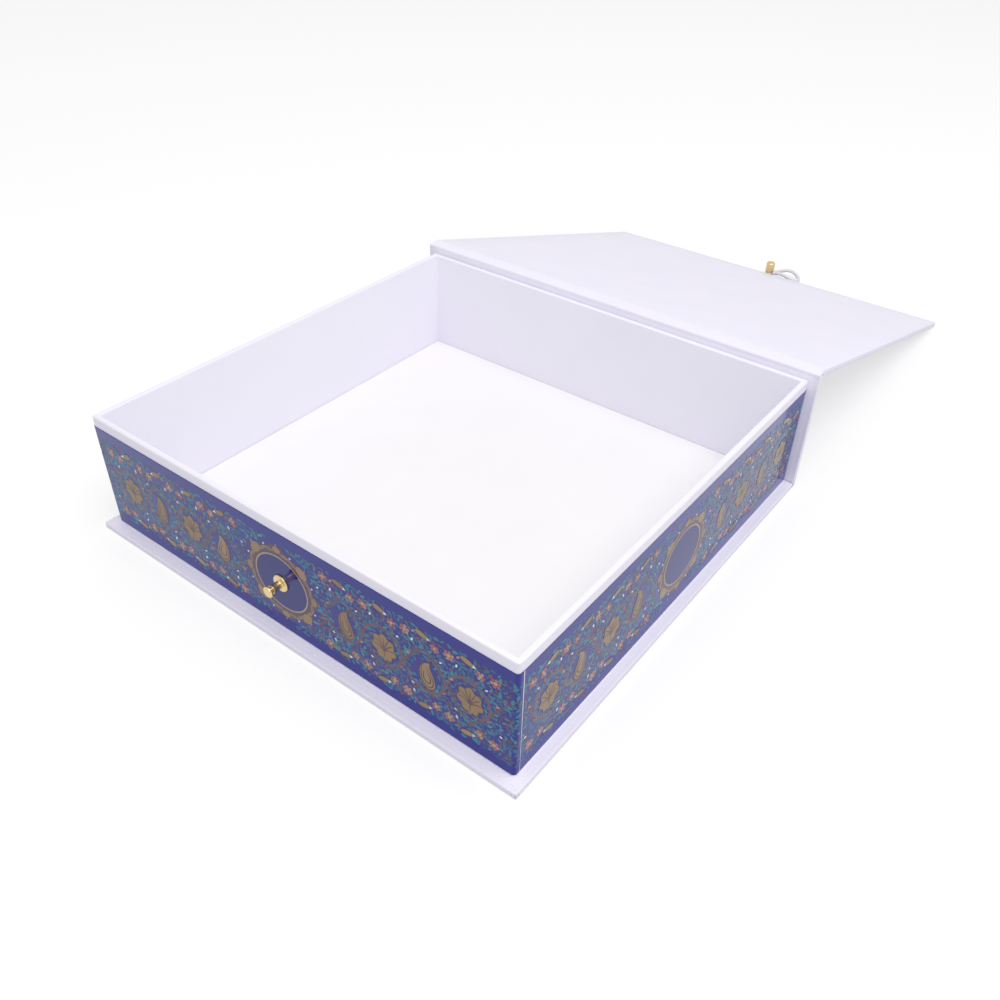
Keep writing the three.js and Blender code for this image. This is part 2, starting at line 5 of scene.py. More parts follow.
import json
import math
import random
from collections import Counter

import bmesh
import bpy
from mathutils import Matrix, Vector
from mathutils.geometry import interpolate_bezier, normal as normal_of


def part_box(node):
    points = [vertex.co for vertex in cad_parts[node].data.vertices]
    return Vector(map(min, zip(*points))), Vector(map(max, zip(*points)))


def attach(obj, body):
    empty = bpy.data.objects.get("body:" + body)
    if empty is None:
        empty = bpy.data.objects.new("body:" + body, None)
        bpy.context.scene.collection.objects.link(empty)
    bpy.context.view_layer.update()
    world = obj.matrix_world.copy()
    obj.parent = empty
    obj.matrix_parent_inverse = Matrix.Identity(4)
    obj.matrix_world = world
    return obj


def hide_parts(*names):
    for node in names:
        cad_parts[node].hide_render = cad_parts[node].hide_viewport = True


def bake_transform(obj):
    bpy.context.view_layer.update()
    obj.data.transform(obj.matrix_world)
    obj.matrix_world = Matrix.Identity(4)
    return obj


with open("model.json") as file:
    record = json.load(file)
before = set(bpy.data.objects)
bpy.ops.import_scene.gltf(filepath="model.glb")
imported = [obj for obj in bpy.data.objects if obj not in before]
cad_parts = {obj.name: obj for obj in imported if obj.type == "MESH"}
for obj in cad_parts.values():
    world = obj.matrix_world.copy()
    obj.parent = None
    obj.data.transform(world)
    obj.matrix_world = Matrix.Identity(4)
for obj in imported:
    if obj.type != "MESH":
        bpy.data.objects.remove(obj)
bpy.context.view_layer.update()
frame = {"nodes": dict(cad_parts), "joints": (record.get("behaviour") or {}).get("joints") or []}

MM = 0.001
EPSILON = 1e-6
UP = Vector((0, 0, 1))
JOINTS = {joint["name"]: joint for joint in frame["joints"]}


def linked(name, data):
    """A new object that holds the data, in the scene."""
    piece = bpy.data.objects.new(name, data)
    bpy.context.scene.collection.objects.link(piece)
    return piece


# Camera: where the photograph was taken from
CAMERA_PLACE = (0.200666, -0.245116, 0.246728)
CAMERA_AZIMUTH = math.radians(36.653)
CAMERA_ELEVATION = math.radians(37.62)
CAMERA_ROLL = math.radians(1.415)
IMAGE_PIXELS = 1000
FOCAL_PIXELS = 943.01
SENSOR_MM = 36
CLIP_START = 0.01


def camera():
    azimuth, elevation, roll = CAMERA_AZIMUTH, CAMERA_ELEVATION, CAMERA_ROLL
    level = Vector((math.cos(azimuth), math.sin(azimuth), 0))
    ahead = Vector((-math.sin(azimuth), math.cos(azimuth), 0))
    look = ahead * math.cos(elevation) - UP * math.sin(elevation)
    rise = level.cross(look)
    right = level * math.cos(roll) + rise * math.sin(roll)
    top = rise * math.cos(roll) - level * math.sin(roll)
    lens = bpy.data.cameras.new("camera")
    lens.sensor_width = SENSOR_MM
    lens.lens = SENSOR_MM * FOCAL_PIXELS / IMAGE_PIXELS
    lens.clip_start = CLIP_START
    eye = linked("camera", lens)
    eye.matrix_world = Matrix.Translation(CAMERA_PLACE) @ Matrix((right, top, -look)).transposed().to_4x4()
    bpy.context.scene.camera = eye


camera()

# Cord loop: elastic cord that arches from the post and comes down on the table beside the lid's free edge
LOOP_DIAMETER = 0.002
LOOP_LENGTH = 0.0367  # along its route
POST_OFFSET = 0.0036  # post's axis beyond the lid's edge
LOOP_ROUTE = [  # x from the post's axis, y beyond the lid's edge, z above the table
    (0.0029, 0.00475, 0.00275), (0.0044, 0.0051, 0.0031), (0.0062, 0.0062, 0.0037),
    (0.0083, 0.0076, 0.0042), (0.0106, 0.0089, 0.0043), (0.0129, 0.0095, 0.0038),
    (0.0152, 0.0093, 0.0029), (0.0172, 0.0082, 0.0019), (0.0183, 0.0064, 0.00125),
    (0.0179, 0.0045, 0.00105), (0.0162, 0.0032, 0.0013), (0.0138, 0.0027, 0.0021),
    (0.0113, 0.0026, 0.0029), (0.0089, 0.0026, 0.0034), (0.0066, 0.0026, 0.0035),
    (0.0046, 0.0025, 0.0031), (0.0029, 0.00245, 0.00275),
]


def closure_loop():
    edge = JOINTS["loop_swing"]["pos_m"][1] - POST_OFFSET
    route = [Vector((x, edge + y, z)) for x, y, z in LOOP_ROUTE]
    line = bpy.data.curves.new("elastic_loop", "CURVE")
    line.dimensions = "3D"
    line.bevel_depth = 1  # times each point's own radius
    line.bevel_resolution = 4
    line.use_fill_caps = True
    spline = line.splines.new("BEZIER")
    spline.resolution_u = 6
    spline.bezier_points.add(len(route) - 1)
    for point, place in zip(spline.bezier_points, route):
        point.co = place
        point.radius = LOOP_DIAMETER / 2
        point.handle_left_type = "AUTO"
        point.handle_right_type = "AUTO"
    loop = linked("elastic_loop", line)
    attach(loop, "loop")
    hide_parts("closure_loop")
    return loop


elastic_loop = closure_loop()

# Sizes that the new pieces share with the part
PAPER = 0.2 * MM
WALL = 2.3 * MM  # tray wall with its papers
CORNER_RADIUS = 1.2 * MM
INNER_CORNER_RADIUS = 0.3 * MM
RIM_RADIUS = 0.5 * MM
FOOT_FOLD = 0.2 * MM
WRAP_TURN_UNDER = 12 * MM
WRAP_FOOT = 10 * MM
LAP_PLACE = -96.75 * MM  # where the side flaps of the wrap start, over the front one's turned ends
LAP_SLOPE = 0.3 * MM
LAP_STEP = 0.11 * MM
LINING_GAP = 0.05 * MM  # between the wrap's foot and the floor lining
SLIP_MERGE = 1e-4  # mm, within which points of a flat slip are one


# Modelling helpers: one piece open in edit mode at a time, faces and edges picked by their place
def active(piece):
    bpy.ops.object.select_all(action="DESELECT")
    piece.select_set(True)
    bpy.context.view_layer.objects.active = piece


def block(name, low, high):
    bpy.ops.object.select_all(action="DESELECT")
    bpy.ops.mesh.primitive_cube_add(size=1, location=(low + high) / 2, scale=high - low)
    piece = bpy.context.object
    piece.name = name
    bpy.ops.object.transform_apply(location=True, rotation=True, scale=True)
    return piece


def edit(piece):
    active(piece)
    bpy.ops.object.mode_set(mode="EDIT")
    bpy.ops.mesh.select_mode(type="FACE")
    bpy.ops.mesh.select_all(action="DESELECT")


def done():
    bpy.ops.object.mode_set(mode="OBJECT")


def pick_faces(piece, test):
    bpy.ops.mesh.select_all(action="DESELECT")
    mesh = bmesh.from_edit_mesh(piece.data)
    for face in mesh.faces:
        face.select_set(test([corner.co for corner in face.verts]))
    bmesh.update_edit_mesh(piece.data)


def facing(corners):
    """Which way a face of an upright box looks, such as +x, from its corners."""
    normal = normal_of(corners)
    axis = max(range(3), key=lambda i: abs(normal[i]))
    return ("+" if normal[axis] > 0 else "-") + "xyz"[axis]


def modify(piece, kind, **settings):
    active(piece)
    modifier = piece.modifiers.new(kind.lower(), kind)
    for name, value in settings.items():
        setattr(modifier, name, value)
    bpy.ops.object.modifier_apply(modifier=modifier.name)


def round_edges(piece, rules, segments):
    """Rounds the edges that pass each rule's test to its radius."""
    widest = max(radius for _, radius in rules)
    weights = piece.data.attributes.new("bevel_weight_edge", "FLOAT", "EDGE")
    for edge in piece.data.edges:
        a, b = (piece.data.vertices[i].co for i in edge.vertices)
        weights.data[edge.index].value = next((r / widest for test, r in rules if test(edge, a, b)), 0)
    modify(piece, "BEVEL", width=widest, segments=segments, limit_method="WEIGHT", use_clamp_overlap=False)


def smooth(piece, degrees=35):
    active(piece)
    bpy.ops.object.shade_smooth_by_angle(angle=math.radians(degrees))


def fold_paper(piece, rules, segments):
    """Rounds a sheet's folds and gives it the paper's thickness, inwards."""
    round_edges(piece, rules, segments)
    modify(piece, "SOLIDIFY", thickness=PAPER, offset=-1)
    smooth(piece)


def mesh_of_lines(name, lines, **settings):
    """A mesh made from a curve of straight lines, closed if flat; open in edit mode, all of it selected."""
    drawing = bpy.data.curves.new(name, "CURVE")
    for setting, value in settings.items():
        setattr(drawing, setting, value)
    for line in lines:
        spline = drawing.splines.new("POLY")
        spline.points.add(len(line) - 1)
        spline.use_cyclic_u = drawing.dimensions == "2D"
        for point, place in zip(spline.points, line):
            point.co = (*place, 1)
    active(linked(name, drawing))
    bpy.ops.object.convert(target="MESH")
    edit(bpy.context.object)
    bpy.ops.mesh.select_all(action="SELECT")
    return bpy.context.object


def slip(name, *outlines):
    """A flat slip of unit thickness, cut to closed outlines; one inside another makes a hole."""
    lines = [[(x, y, 0) for x, y in outline] for outline in outlines]
    piece = mesh_of_lines(name, lines, dimensions="2D", fill_mode="BOTH", extrude=0.5)
    bpy.ops.mesh.remove_doubles(threshold=SLIP_MERGE)
    bpy.ops.transform.translate(value=(0, 0, 0.5))
    done()
    mesh = piece.data
    bpy.data.objects.remove(piece)
    return mesh


def settle(piece, body, slot, material, *nodes):
    """Gives a piece its material and body, and hides the nodes that it stands for; slot is not used."""
    piece.data.materials.clear()
    piece.data.materials.append(material)
    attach(piece, body)
    if nodes:
        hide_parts(*nodes)


# Material helpers
def linear(colour):
    """Linear red, green and blue of an sRGB hex colour, and full alpha."""
    values = [int(colour[i:i + 2], 16) / 255 for i in (1, 3, 5)]
    return [v / 12.92 if v <= 0.04045 else ((v + 0.055) / 1.055) ** 2.4 for v in values] + [1.0]


def node(tree, kind, inputs=None, **settings):
    """Adds a node with its settings; each input takes a value or another node's output."""
    made = tree.nodes.new("ShaderNode" + kind)
    for name, value in settings.items():
        setattr(made, name, value)
    for name, value in (inputs or {}).items():
        if isinstance(value, bpy.types.NodeSocket):
            tree.links.new(value, made.inputs[name])
        else:
            made.inputs[name].default_value = value
    return made


def blank(name):
    material = bpy.data.materials.new(name)
    material.use_nodes = True
    material.node_tree.nodes.clear()
    return material, material.node_tree


def per_mm(size):
    """A texture's scale for a pattern of that real size in millimetres."""
    return 1 / (size * MM)


SCUFF_REACH = 7 * MM
BARE_BOARD = "#8F8A92"


def coated_paper(name, pale, shadow, scuffed=()):
    # White art paper under a satin film: even, a soft sheen, a faint tooth that breaks up the highlights,
    # and grey board that shows through specks of wear at the scuffed corners
    material, tree = blank(name)
    place = node(tree, "TexCoord").outputs["Object"]
    cloud = node(tree, "TexNoise", {"Vector": place, "Scale": per_mm(22), "Detail": 4.0}).outputs["Fac"]
    colour = node(tree, "MixRGB", {"Fac": cloud, "Color1": linear(pale), "Color2": linear(shadow)})
    speck = node(tree, "TexNoise", {"Vector": place, "Scale": per_mm(0.9), "Detail": 3.0}).outputs["Fac"]
    for corner in scuffed:
        away = node(tree, "VectorMath", {0: place, 1: corner}, operation="DISTANCE").outputs["Value"]
        near = node(tree, "MapRange", {
            "Value": away, "From Max": SCUFF_REACH, "To Min": -0.05, "To Max": 0.5}).outputs["Result"]
        bare = node(tree, "Math", {0: speck, 1: near}, operation="SUBTRACT").outputs["Value"]
        share = node(tree, "MapRange", {
            "Value": bare, "From Min": 0.44, "From Max": 0.58, "To Max": 0.45}).outputs["Result"]
        colour = node(tree, "MixRGB", {
            "Fac": share, "Color1": colour.outputs["Color"], "Color2": linear(BARE_BOARD)})
    tooth = node(tree, "TexNoise", {"Vector": place, "Scale": per_mm(0.7), "Detail": 5.0}).outputs["Fac"]
    rough = node(tree, "MapRange", {"Value": tooth, "To Min": 0.38, "To Max": 0.56}).outputs["Result"]
    bump = node(tree, "Bump", {"Height": tooth, "Strength": 0.12, "Distance": 0.03 * MM})
    surface = node(tree, "BsdfPrincipled", {
        "Base Color": colour.outputs["Color"],
        "Roughness": rough,
        "IOR": 1.48,
        "Normal": bump.outputs["Normal"],
    })
    node(tree, "OutputMaterial", {"Surface": surface.outputs["BSDF"]})
    return material


def film_printed(name, dark, light, tone=None):
    # Ink on paper under a gloss film: flat colour, slightly uneven ink, and a clear mirror-like film with
    # faint orange peel
    material, tree = blank(name)
    place = node(tree, "TexCoord").outputs["Object"]
    grain = node(tree, "TexNoise", {"Vector": place, "Scale": per_mm(1.1), "Detail": 3.0}).outputs["Fac"]
    share = grain
    if tone:
        shades = node(tree, "Attribute", attribute_name=tone).outputs["Fac"]
        mottle = node(tree, "MapRange", {"Value": grain, "To Min": -0.2, "To Max": 0.2}).outputs["Result"]
        share = node(tree, "Math", {0: shades, 1: mottle}).outputs["Value"]
    colour = node(tree, "MixRGB", {"Fac": share, "Color1": linear(dark), "Color2": linear(light)})
    peel = node(tree, "TexNoise", {"Vector": place, "Scale": per_mm(2.4), "Detail": 2.0}).outputs["Fac"]
    bump = node(tree, "Bump", {"Height": peel, "Strength": 0.05, "Distance": 0.04 * MM})
    surface = node(tree, "BsdfPrincipled", {
        "Base Color": colour.outputs["Color"],
        "Roughness": 0.1,
        "IOR": 1.42,
        "Normal": bump.outputs["Normal"],
    })
    node(tree, "OutputMaterial", {"Surface": surface.outputs["BSDF"]})
    return material


def fibre_board(name, pale, dark, fleck):
    # Raw grey board or kraft paper: matt, cloudy, with short darker fibres
    material, tree = blank(name)
    place = node(tree, "TexCoord").outputs["Object"]
    stretch = node(tree, "Mapping", {"Vector": place, "Scale": (1.0, 3.0, 3.0)}).outputs["Vector"]
    fibre = node(tree, "TexNoise", {"Vector": stretch, "Scale": per_mm(fleck), "Detail": 6.0}).outputs["Fac"]
    share = node(tree, "MapRange", {"Value": fibre, "From Min": 0.35, "From Max": 0.7}).outputs["Result"]
    colour = node(tree, "MixRGB", {"Fac": share, "Color1": linear(pale), "Color2": linear(dark)})
    bump = node(tree, "Bump", {"Height": fibre, "Strength": 0.3, "Distance": 0.05 * MM})
    surface = node(tree, "BsdfPrincipled", {
        "Base Color": colour.outputs["Color"],
        "Roughness": 0.9,
        "Normal": bump.outputs["Normal"],
    })
    node(tree, "OutputMaterial", {"Surface": surface.outputs["BSDF"]})
    return material


def polished_brass(name):
    # Turned and lacquered brass: pale gold, soft highlights along its edges, faintly cloudy lacquer
    material, tree = blank(name)
    place = node(tree, "TexCoord").outputs["Object"]
    marks = node(tree, "TexNoise", {"Vector": place, "Scale": per_mm(1.2), "Detail": 2.0}).outputs["Fac"]
    rough = node(tree, "MapRange", {"Value": marks, "To Min": 0.28, "To Max": 0.4}).outputs["Result"]
    colour = node(tree, "MixRGB", {"Fac": marks, "Color1": linear("#E0C68E"), "Color2": linear("#EAD6A6")})
    surface = node(tree, "BsdfPrincipled", {
        "Base Color": colour.outputs["Color"],
        "Roughness": rough,
        "Metallic": 1.0,
    })
    node(tree, "OutputMaterial", {"Surface": surface.outputs["BSDF"]})
    return material


YARN_PITCH = 1.15 * MM  # from yarn to yarn along the cord
YARNS_ROUND = 8
ONE_WAVE = math.tau / 10  # scale at which a wave texture has one wave


def braided_cord(name):
    # White elastic cord: polyester yarn braided round a rubber core, matt with fine crossing yarns.
    # Painted shade: its colour is darker in the grooves between the yarns and lighter on their crowns.
    # The cord's UV runs once along it and once round it.
    material, tree = blank(name)
    place = node(tree, "TexCoord").outputs["UV"]
    along = ONE_WAVE * LOOP_LENGTH / YARN_PITCH
    yarns = []
    for way in (1, -1):
        stretch = (along, way * ONE_WAVE * YARNS_ROUND, 1.0)
        slant = node(tree, "Mapping", {"Vector": place, "Scale": stretch}).outputs["Vector"]
        wave = node(tree, "TexWave", {"Vector": slant, "Scale": 1.0}, bands_direction="DIAGONAL")
        yarns.append(wave.outputs["Fac"])
    height = node(tree, "Math", {0: yarns[0], 1: yarns[1]}, operation="MAXIMUM").outputs["Value"]
    # Painted shade: where the yarns sink the cord takes the darker grey, on their crowns the lighter one
    colour = node(tree, "MixRGB", {"Fac": height, "Color1": linear("#D0CFD4"), "Color2": linear("#E6E5E9")})
    bump = node(tree, "Bump", {"Height": height, "Strength": 0.4, "Distance": 0.1 * MM})
    surface = node(tree, "BsdfPrincipled", {
        "Base Color": colour.outputs["Color"],
        "Roughness": 0.8,
        "Normal": bump.outputs["Normal"],
    })
    node(tree, "OutputMaterial", {"Surface": surface.outputs["BSDF"]})
    return material


BASE_CORNER = (0.1042, -0.1037, 0.0013)  # right front corner of the base, scuffed
LID_CORNER = (0.1042, 0.2981, 0.0016)  # right free corner of the lid, scuffed

tray_paper = coated_paper("coated_paper_tray", "#F3F1FB", "#EEECF8")
floor_paper = coated_paper("coated_paper_floor", "#F5F3F4", "#F1EFF0")
case_paper = coated_paper("coated_paper_case", "#F1EEFB", "#EBE8F7", [BASE_CORNER, LID_CORNER])
navy_print = film_printed("film_print_navy", "#161C85", "#1E248E")
field_ink = film_printed("film_print_field", "#0C1170", "#12187C")
teal_ink = film_printed("film_print_teal", "#1C4480", "#2B8698", "tone")
vine_ink = film_printed("film_print_vine", "#40305C", "#75505E", "tone")
gold_ink = film_printed("film_print_gold", "#8A6E4A", "#A0835E", "tone")
gold_line_ink = film_printed("film_print_gold_line", "#4A3440", "#6A4A44", "tone")
ring_ink = film_printed("film_print_ring", "#A8946C", "#BCA982", "tone")
coral_ink = film_printed("film_print_coral", "#8C4658", "#C08A74", "tone")
white_ink = film_printed("film_print_white", "#D6D2DA", "#F4F1F2", "tone")
grey_board = fibre_board("grey_board", "#9B9286", "#7C7469", 0.8)
kraft_tape = fibre_board("kraft_tape", "#BF9868", "#A47C4E", 0.6)
brass = polished_brass("polished_brass")
elastic = braided_cord("braided_elastic")
elastic_loop.data.materials.append(elastic)


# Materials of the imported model's own solids, also of those that pieces further down stand in for
def dress(material, *nodes):
    for name in nodes:
        slots = frame["nodes"][name].data.materials
        slots.clear()
        slots.append(material)


dress(grey_board, "tray_floor_board", "front_wall_board", "rear_wall_board", "left_wall_board")
dress(grey_board, "right_wall_board", "base_board", "spine_board", "lid_board")
dress(kraft_tape, "corner_stay_front_left", "corner_stay_front_right")
dress(kraft_tape, "corner_stay_rear_left", "corner_stay_rear_right")
dress(floor_paper, "floor_lining")
dress(case_paper, "base_cover", "base_liner", "lower_joint_strip", "spine_cover", "spine_liner")
dress(case_paper, "lid_cover", "lid_liner", "closure_tab", "hinge_cover_strip", "hinge_liner_strip")
dress(brass, "stud_screw", "closure_stud", "loop_post", "post_washer")


# Tray wrap: one sheet under the floor, up the walls, over the rim and down inside
def upright(a, b):
    return abs(a.x - b.x) < EPSILON and abs(a.y - b.y) < EPSILON


def tray_wrap():
    low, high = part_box("tray_wrap")
    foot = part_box("floor_lining")[0].z - low.z - LINING_GAP
    piece = block("tray_wrap_sheet", low, high)
    edit(piece)
    pick_faces(piece, lambda corners: all(c.z > high.z - EPSILON for c in corners))
    bpy.ops.mesh.inset(thickness=WALL)
    bpy.ops.mesh.extrude_region_move(TRANSFORM_OT_translate={"value": (0, 0, low.z + foot - high.z)})
    bpy.ops.mesh.inset(thickness=WRAP_FOOT)
    bpy.ops.mesh.delete(type="FACE")
    pick_faces(piece, lambda corners: all(c.z < low.z + EPSILON for c in corners))
    bpy.ops.mesh.inset(thickness=WRAP_TURN_UNDER)
    bpy.ops.mesh.delete(type="FACE")
    for place in (LAP_PLACE, LAP_PLACE + LAP_SLOPE):
        bpy.ops.mesh.select_all(action="SELECT")
        bpy.ops.mesh.bisect(plane_co=(0, place, 0), plane_no=(0, 1, 0))
    for side in (-1, 1):
        pick_faces(piece, lambda corners: all(
            side * c.x > high.x - EPSILON and c.y > LAP_PLACE + LAP_SLOPE - EPSILON for c in corners))
        bpy.ops.transform.translate(value=(side * LAP_STEP, 0, 0))
    done()
    outer_x = high.x - EPSILON

    def outer_upright(edge, a, b):
        return upright(a, b) and abs(a.x) > outer_x and abs(a.y) > high.y - EPSILON

    def inner_upright(edge, a, b):
        return upright(a, b) and abs(a.x) < outer_x and abs(a.y) > high.y - 2 * WALL

    def along_wall(a, b):
        return abs(a.x - b.x) < 2 * LAP_STEP or (abs(a.y - b.y) < EPSILON and abs(a.x - b.x) > 10 * WALL)

    def rim(edge, a, b):
        return min(a.z, b.z) > high.z - EPSILON and along_wall(a, b)

    def foot_fold(edge, a, b):
        outside = max(abs(a.x), abs(b.x)) > outer_x
        return max(a.z, b.z) < low.z + EPSILON and outside and along_wall(a, b)

    rules = [
        (outer_upright, CORNER_RADIUS),
        (inner_upright, INNER_CORNER_RADIUS),
        (rim, RIM_RADIUS),
        (foot_fold, FOOT_FOLD),
    ]
    fold_paper(piece, rules, segments=4)
    settle(piece, "tray_and_case", "white_paper", tray_paper, "tray_wrap")


tray_wrap()

# Printed sheets: the front one turns the corners, the side ones turn under the spine
PRINT_RADIUS = 1.45 * MM


def printed_sheet(node_name, name, kept):
    """Keeps the faces of the sheet's box that look the given ways, rounds the folds and thickens it."""
    low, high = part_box(node_name)
    piece = block(name, low, high)
    edit(piece)
    pick_faces(piece, lambda corners: facing(corners) not in kept)
    bpy.ops.mesh.delete(type="FACE")
    done()
    shared = Counter(key for face in piece.data.polygons for key in face.edge_keys)
    folds = {edge.index for edge in piece.data.edges if shared[edge.key] == 2}
    fold_paper(piece, [(lambda edge, a, b: edge.index in folds, PRINT_RADIUS)], segments=6)
    settle(piece, "tray_and_case", "printed_paper", navy_print, node_name)


printed_sheet("front_print", "front_print_sheet", ["-y", "+x", "-x"])
printed_sheet("right_print", "right_print_sheet", ["+x", "+y"])
printed_sheet("left_print", "left_print_sheet", ["-x", "+y"])

# Case covers: paper folded round each board and turned in over its inner face, under a soft-edged liner
COVER_TURN_IN = 15 * MM
COVER_FOLD = 0.35 * MM
LINER_EDGE = 0.07 * MM
LINER_PROUD = 0.08 * MM  # liner's face above the cover's turned-in edge
LINER_SINK = 0.12 * MM  # liner pressed down beside the turned-in cover
SINK_SLOPE = 1.5 * MM
LID_CREASE = Vector(JOINTS["lid_fold"]["pos_m"])
LID_TILT = math.radians(sum(JOINTS[name]["range_deg"][1] for name in ("hinge_fold", "lid_fold")) - 180)
LID_FRAME = Matrix.Translation(LID_CREASE) @ Matrix.Rotation(-LID_TILT, 4, "X")
LID_START = 0.3 * MM  # lid board's edge beyond its crease
LID_EDGE = 1.25 * MM  # half the thickness of the lid board in its cover
LID_LINER_FACE = 1.5 * MM


def lid_box():
    """The covered lid board's box in the lid's own frame, whose origin is its crease."""
    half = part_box("lid_cover")[1].x
    crease_to_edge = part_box("lid_cover")[1].y - LID_CREASE.y
    reach = (crease_to_edge - LID_EDGE * math.sin(LID_TILT)) / math.cos(LID_TILT)
    return Vector((-half, LID_START - PAPER / 2, -LID_EDGE)), Vector((half, reach, LID_EDGE))


def folded_cover(name, low, high, way):
    """A cover round a board's box, open where the liner lies, on the face that looks the given way."""
    piece = block(name, low, high)
    edit(piece)
    pick_faces(piece, lambda corners: facing(corners) == way)
    bpy.ops.mesh.inset(thickness=COVER_TURN_IN)
    bpy.ops.mesh.delete(type="FACE")
    done()
    outer = {edge.index for edge in piece.data.edges if on_box_edge(piece, edge, low, high)}
    fold_paper(piece, [(lambda edge, a, b: edge.index in outer, COVER_FOLD)], segments=3)
    return piece


def on_box_edge(piece, edge, low, high):
    """True for an edge along which two sides of the box meet."""
    ends = [piece.data.vertices[i].co for i in edge.vertices]
    met = 0
    for axis in range(3):
        for side in (low, high):
            met += all(abs(end[axis] - side[axis]) < EPSILON for end in ends)
    return met == 2


def soft_sheet(name, low, high, way):
    """A liner whose edges slope down to what it is glued on, its face looking the given way."""
    piece = block(name, low, high)
    axis = "xyz".index(way[1])
    level = (high if way[0] == "+" else low)[axis]

    def brim(edge, a, b):
        return abs(a[axis] - level) < EPSILON and abs(b[axis] - level) < EPSILON

    round_edges(piece, [(brim, LINER_EDGE)], segments=2)
    smooth(piece)
    return piece


def case_papers():
    low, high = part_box("base_cover")
    liner_low, liner_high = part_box("base_liner")
    high.z = liner_high.z - LINER_PROUD
    base = folded_cover("base_cover_sheet", low, high, "+z")
    settle(base, "tray_and_case", "white_paper", case_paper, "base_cover")
    liner_low.z = high.z - PAPER
    liner = soft_sheet("base_liner_sheet", liner_low, liner_high, "+z")
    settle(liner, "tray_and_case", "white_paper", case_paper, "base_liner")

    low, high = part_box("spine_cover")
    liner_low, liner_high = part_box("spine_liner")
    high.z += PAPER / 2
    low.y = liner_low.y + LINER_PROUD
    spine = folded_cover("spine_cover_sheet", low, high, "-y")
    settle(spine, "tray_and_case", "white_paper", case_paper, "spine_cover")
    liner_high.y = low.y + PAPER
    liner = soft_sheet("spine_liner_sheet", liner_low, liner_high, "-y")
    settle(liner, "tray_and_case", "white_paper", case_paper, "spine_liner")

    low, high = lid_box()
    high.z = LID_LINER_FACE - LINER_PROUD
    lid = folded_cover("lid_cover_sheet", low, high, "+z")
    lid.data.transform(LID_FRAME)
    settle(lid, "lid", "white_paper", case_paper, "lid_cover")


def lid_liner():
    low, high = lid_box()
    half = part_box("lid_liner")[1].x
    inset = high.x - half
    end = high.y - inset
    near_corner = Vector((-half, LID_START, LID_EDGE))
    far_corner = Vector((half, end, LID_LINER_FACE))
    piece = block("lid_liner_sheet", near_corner, far_corner)
    edit(piece)
    steps = (0, SINK_SLOPE)
    cuts = [((1, 0, 0), side * (high.x - COVER_TURN_IN - step)) for side in (-1, 1) for step in steps]
    cuts += [((0, 1, 0), high.y - COVER_TURN_IN - step) for step in steps]
    for normal, place in cuts:
        bpy.ops.mesh.select_all(action="SELECT")
        bpy.ops.mesh.bisect(plane_co=Vector(normal) * place, plane_no=normal)
    sunk_x = high.x - COVER_TURN_IN - SINK_SLOPE + EPSILON
    sunk_y = high.y - COVER_TURN_IN - SINK_SLOPE + EPSILON
    pick_faces(piece, lambda corners: all(
        c.z > LID_LINER_FACE - EPSILON and abs(c.x) < sunk_x and c.y < sunk_y for c in corners))
    bpy.ops.transform.translate(value=(0, 0, -LINER_SINK))
    done()

    def brim(edge, a, b):
        top = min(a.z, b.z) > LID_LINER_FACE - LINER_SINK - EPSILON
        side = min(abs(a.x), abs(b.x)) > half - EPSILON
        far = min(a.y, b.y) > end - EPSILON
        return top and (side or far)

    round_edges(piece, [(brim, LINER_EDGE)], segments=2)
    smooth(piece, 60)
    piece.data.transform(LID_FRAME)
    settle(piece, "lid", "white_paper", case_paper, "lid_liner")


case_papers()
lid_liner()

# Paper hinge: the fold of cover and liner over the spine's top, and the strip from there to the lid, whose
# liner spans the groove and laps over the lid's edge. Profiles in y and z, mm.
FOLD_BACK = [(102.0, 54.5), (102.0, 55.0), (102.05, 55.6), (102.3, 56.25), (102.75, 56.8), (102.9, 56.98)]
FOLD_FRONT = [
    (102.6, 57.0), (101.6, 56.9), (100.6, 56.78), (99.95, 56.7), (99.55, 56.45), (99.38, 56.0),
    (99.38, 54.5),
]
STRIP_COVER = [(101.2, 55.45), (102.4, 55.49), (103.4, 55.5), (103.85, 55.25), (104.05, 54.75)]
STRIP_LINER = [
    (106.4, 56.72), (105.8, 57.0), (105.2, 57.21), (104.6, 57.26), (103.6, 57.16), (102.6, 57.03),
    (102.75, 56.5), (102.2, 55.95),
]
FOLD_INSET = 0.2 * MM  # from the case's ends
STRIP_INSET = 0.35 * MM


def eased(profile, steps=6):
    """Points along a smooth line through a profile's points."""
    points = [Vector(point) for point in profile]
    padded = [points[0]] + points + [points[-1]]
    line = []
    for before, a, b, after in zip(padded, padded[1:], padded[2:], padded[3:]):
        line += interpolate_bezier(a, a + (b - before) / 6, b - (after - a) / 6, b, steps)[:-1]
    return line + [points[-1]]


def paper_band(name, cover, liner, inset):
    """The two papers of the hinge as one closed band across the case."""
    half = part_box("hinge_cover_strip")[1].x - inset
    mesh = slip(name, eased(cover) + eased(liner))
    mesh.transform(Matrix(((0, 0, 2 * half, -half), (MM, 0, 0, 0), (0, MM, 0, 0), (0, 0, 0, 1))))
    band = linked(name, mesh)
    smooth(band, 60)
    mesh.materials.append(case_paper)
    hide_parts("hinge_cover_strip", "hinge_liner_strip")
    return band


def hinge_papers():
    fold = paper_band("hinge_papers_fold", FOLD_BACK, FOLD_FRONT, FOLD_INSET)
    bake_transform(fold)
    strip = paper_band("hinge_papers_strip", STRIP_COVER, STRIP_LINER, STRIP_INSET)
    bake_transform(strip)


hinge_papers()

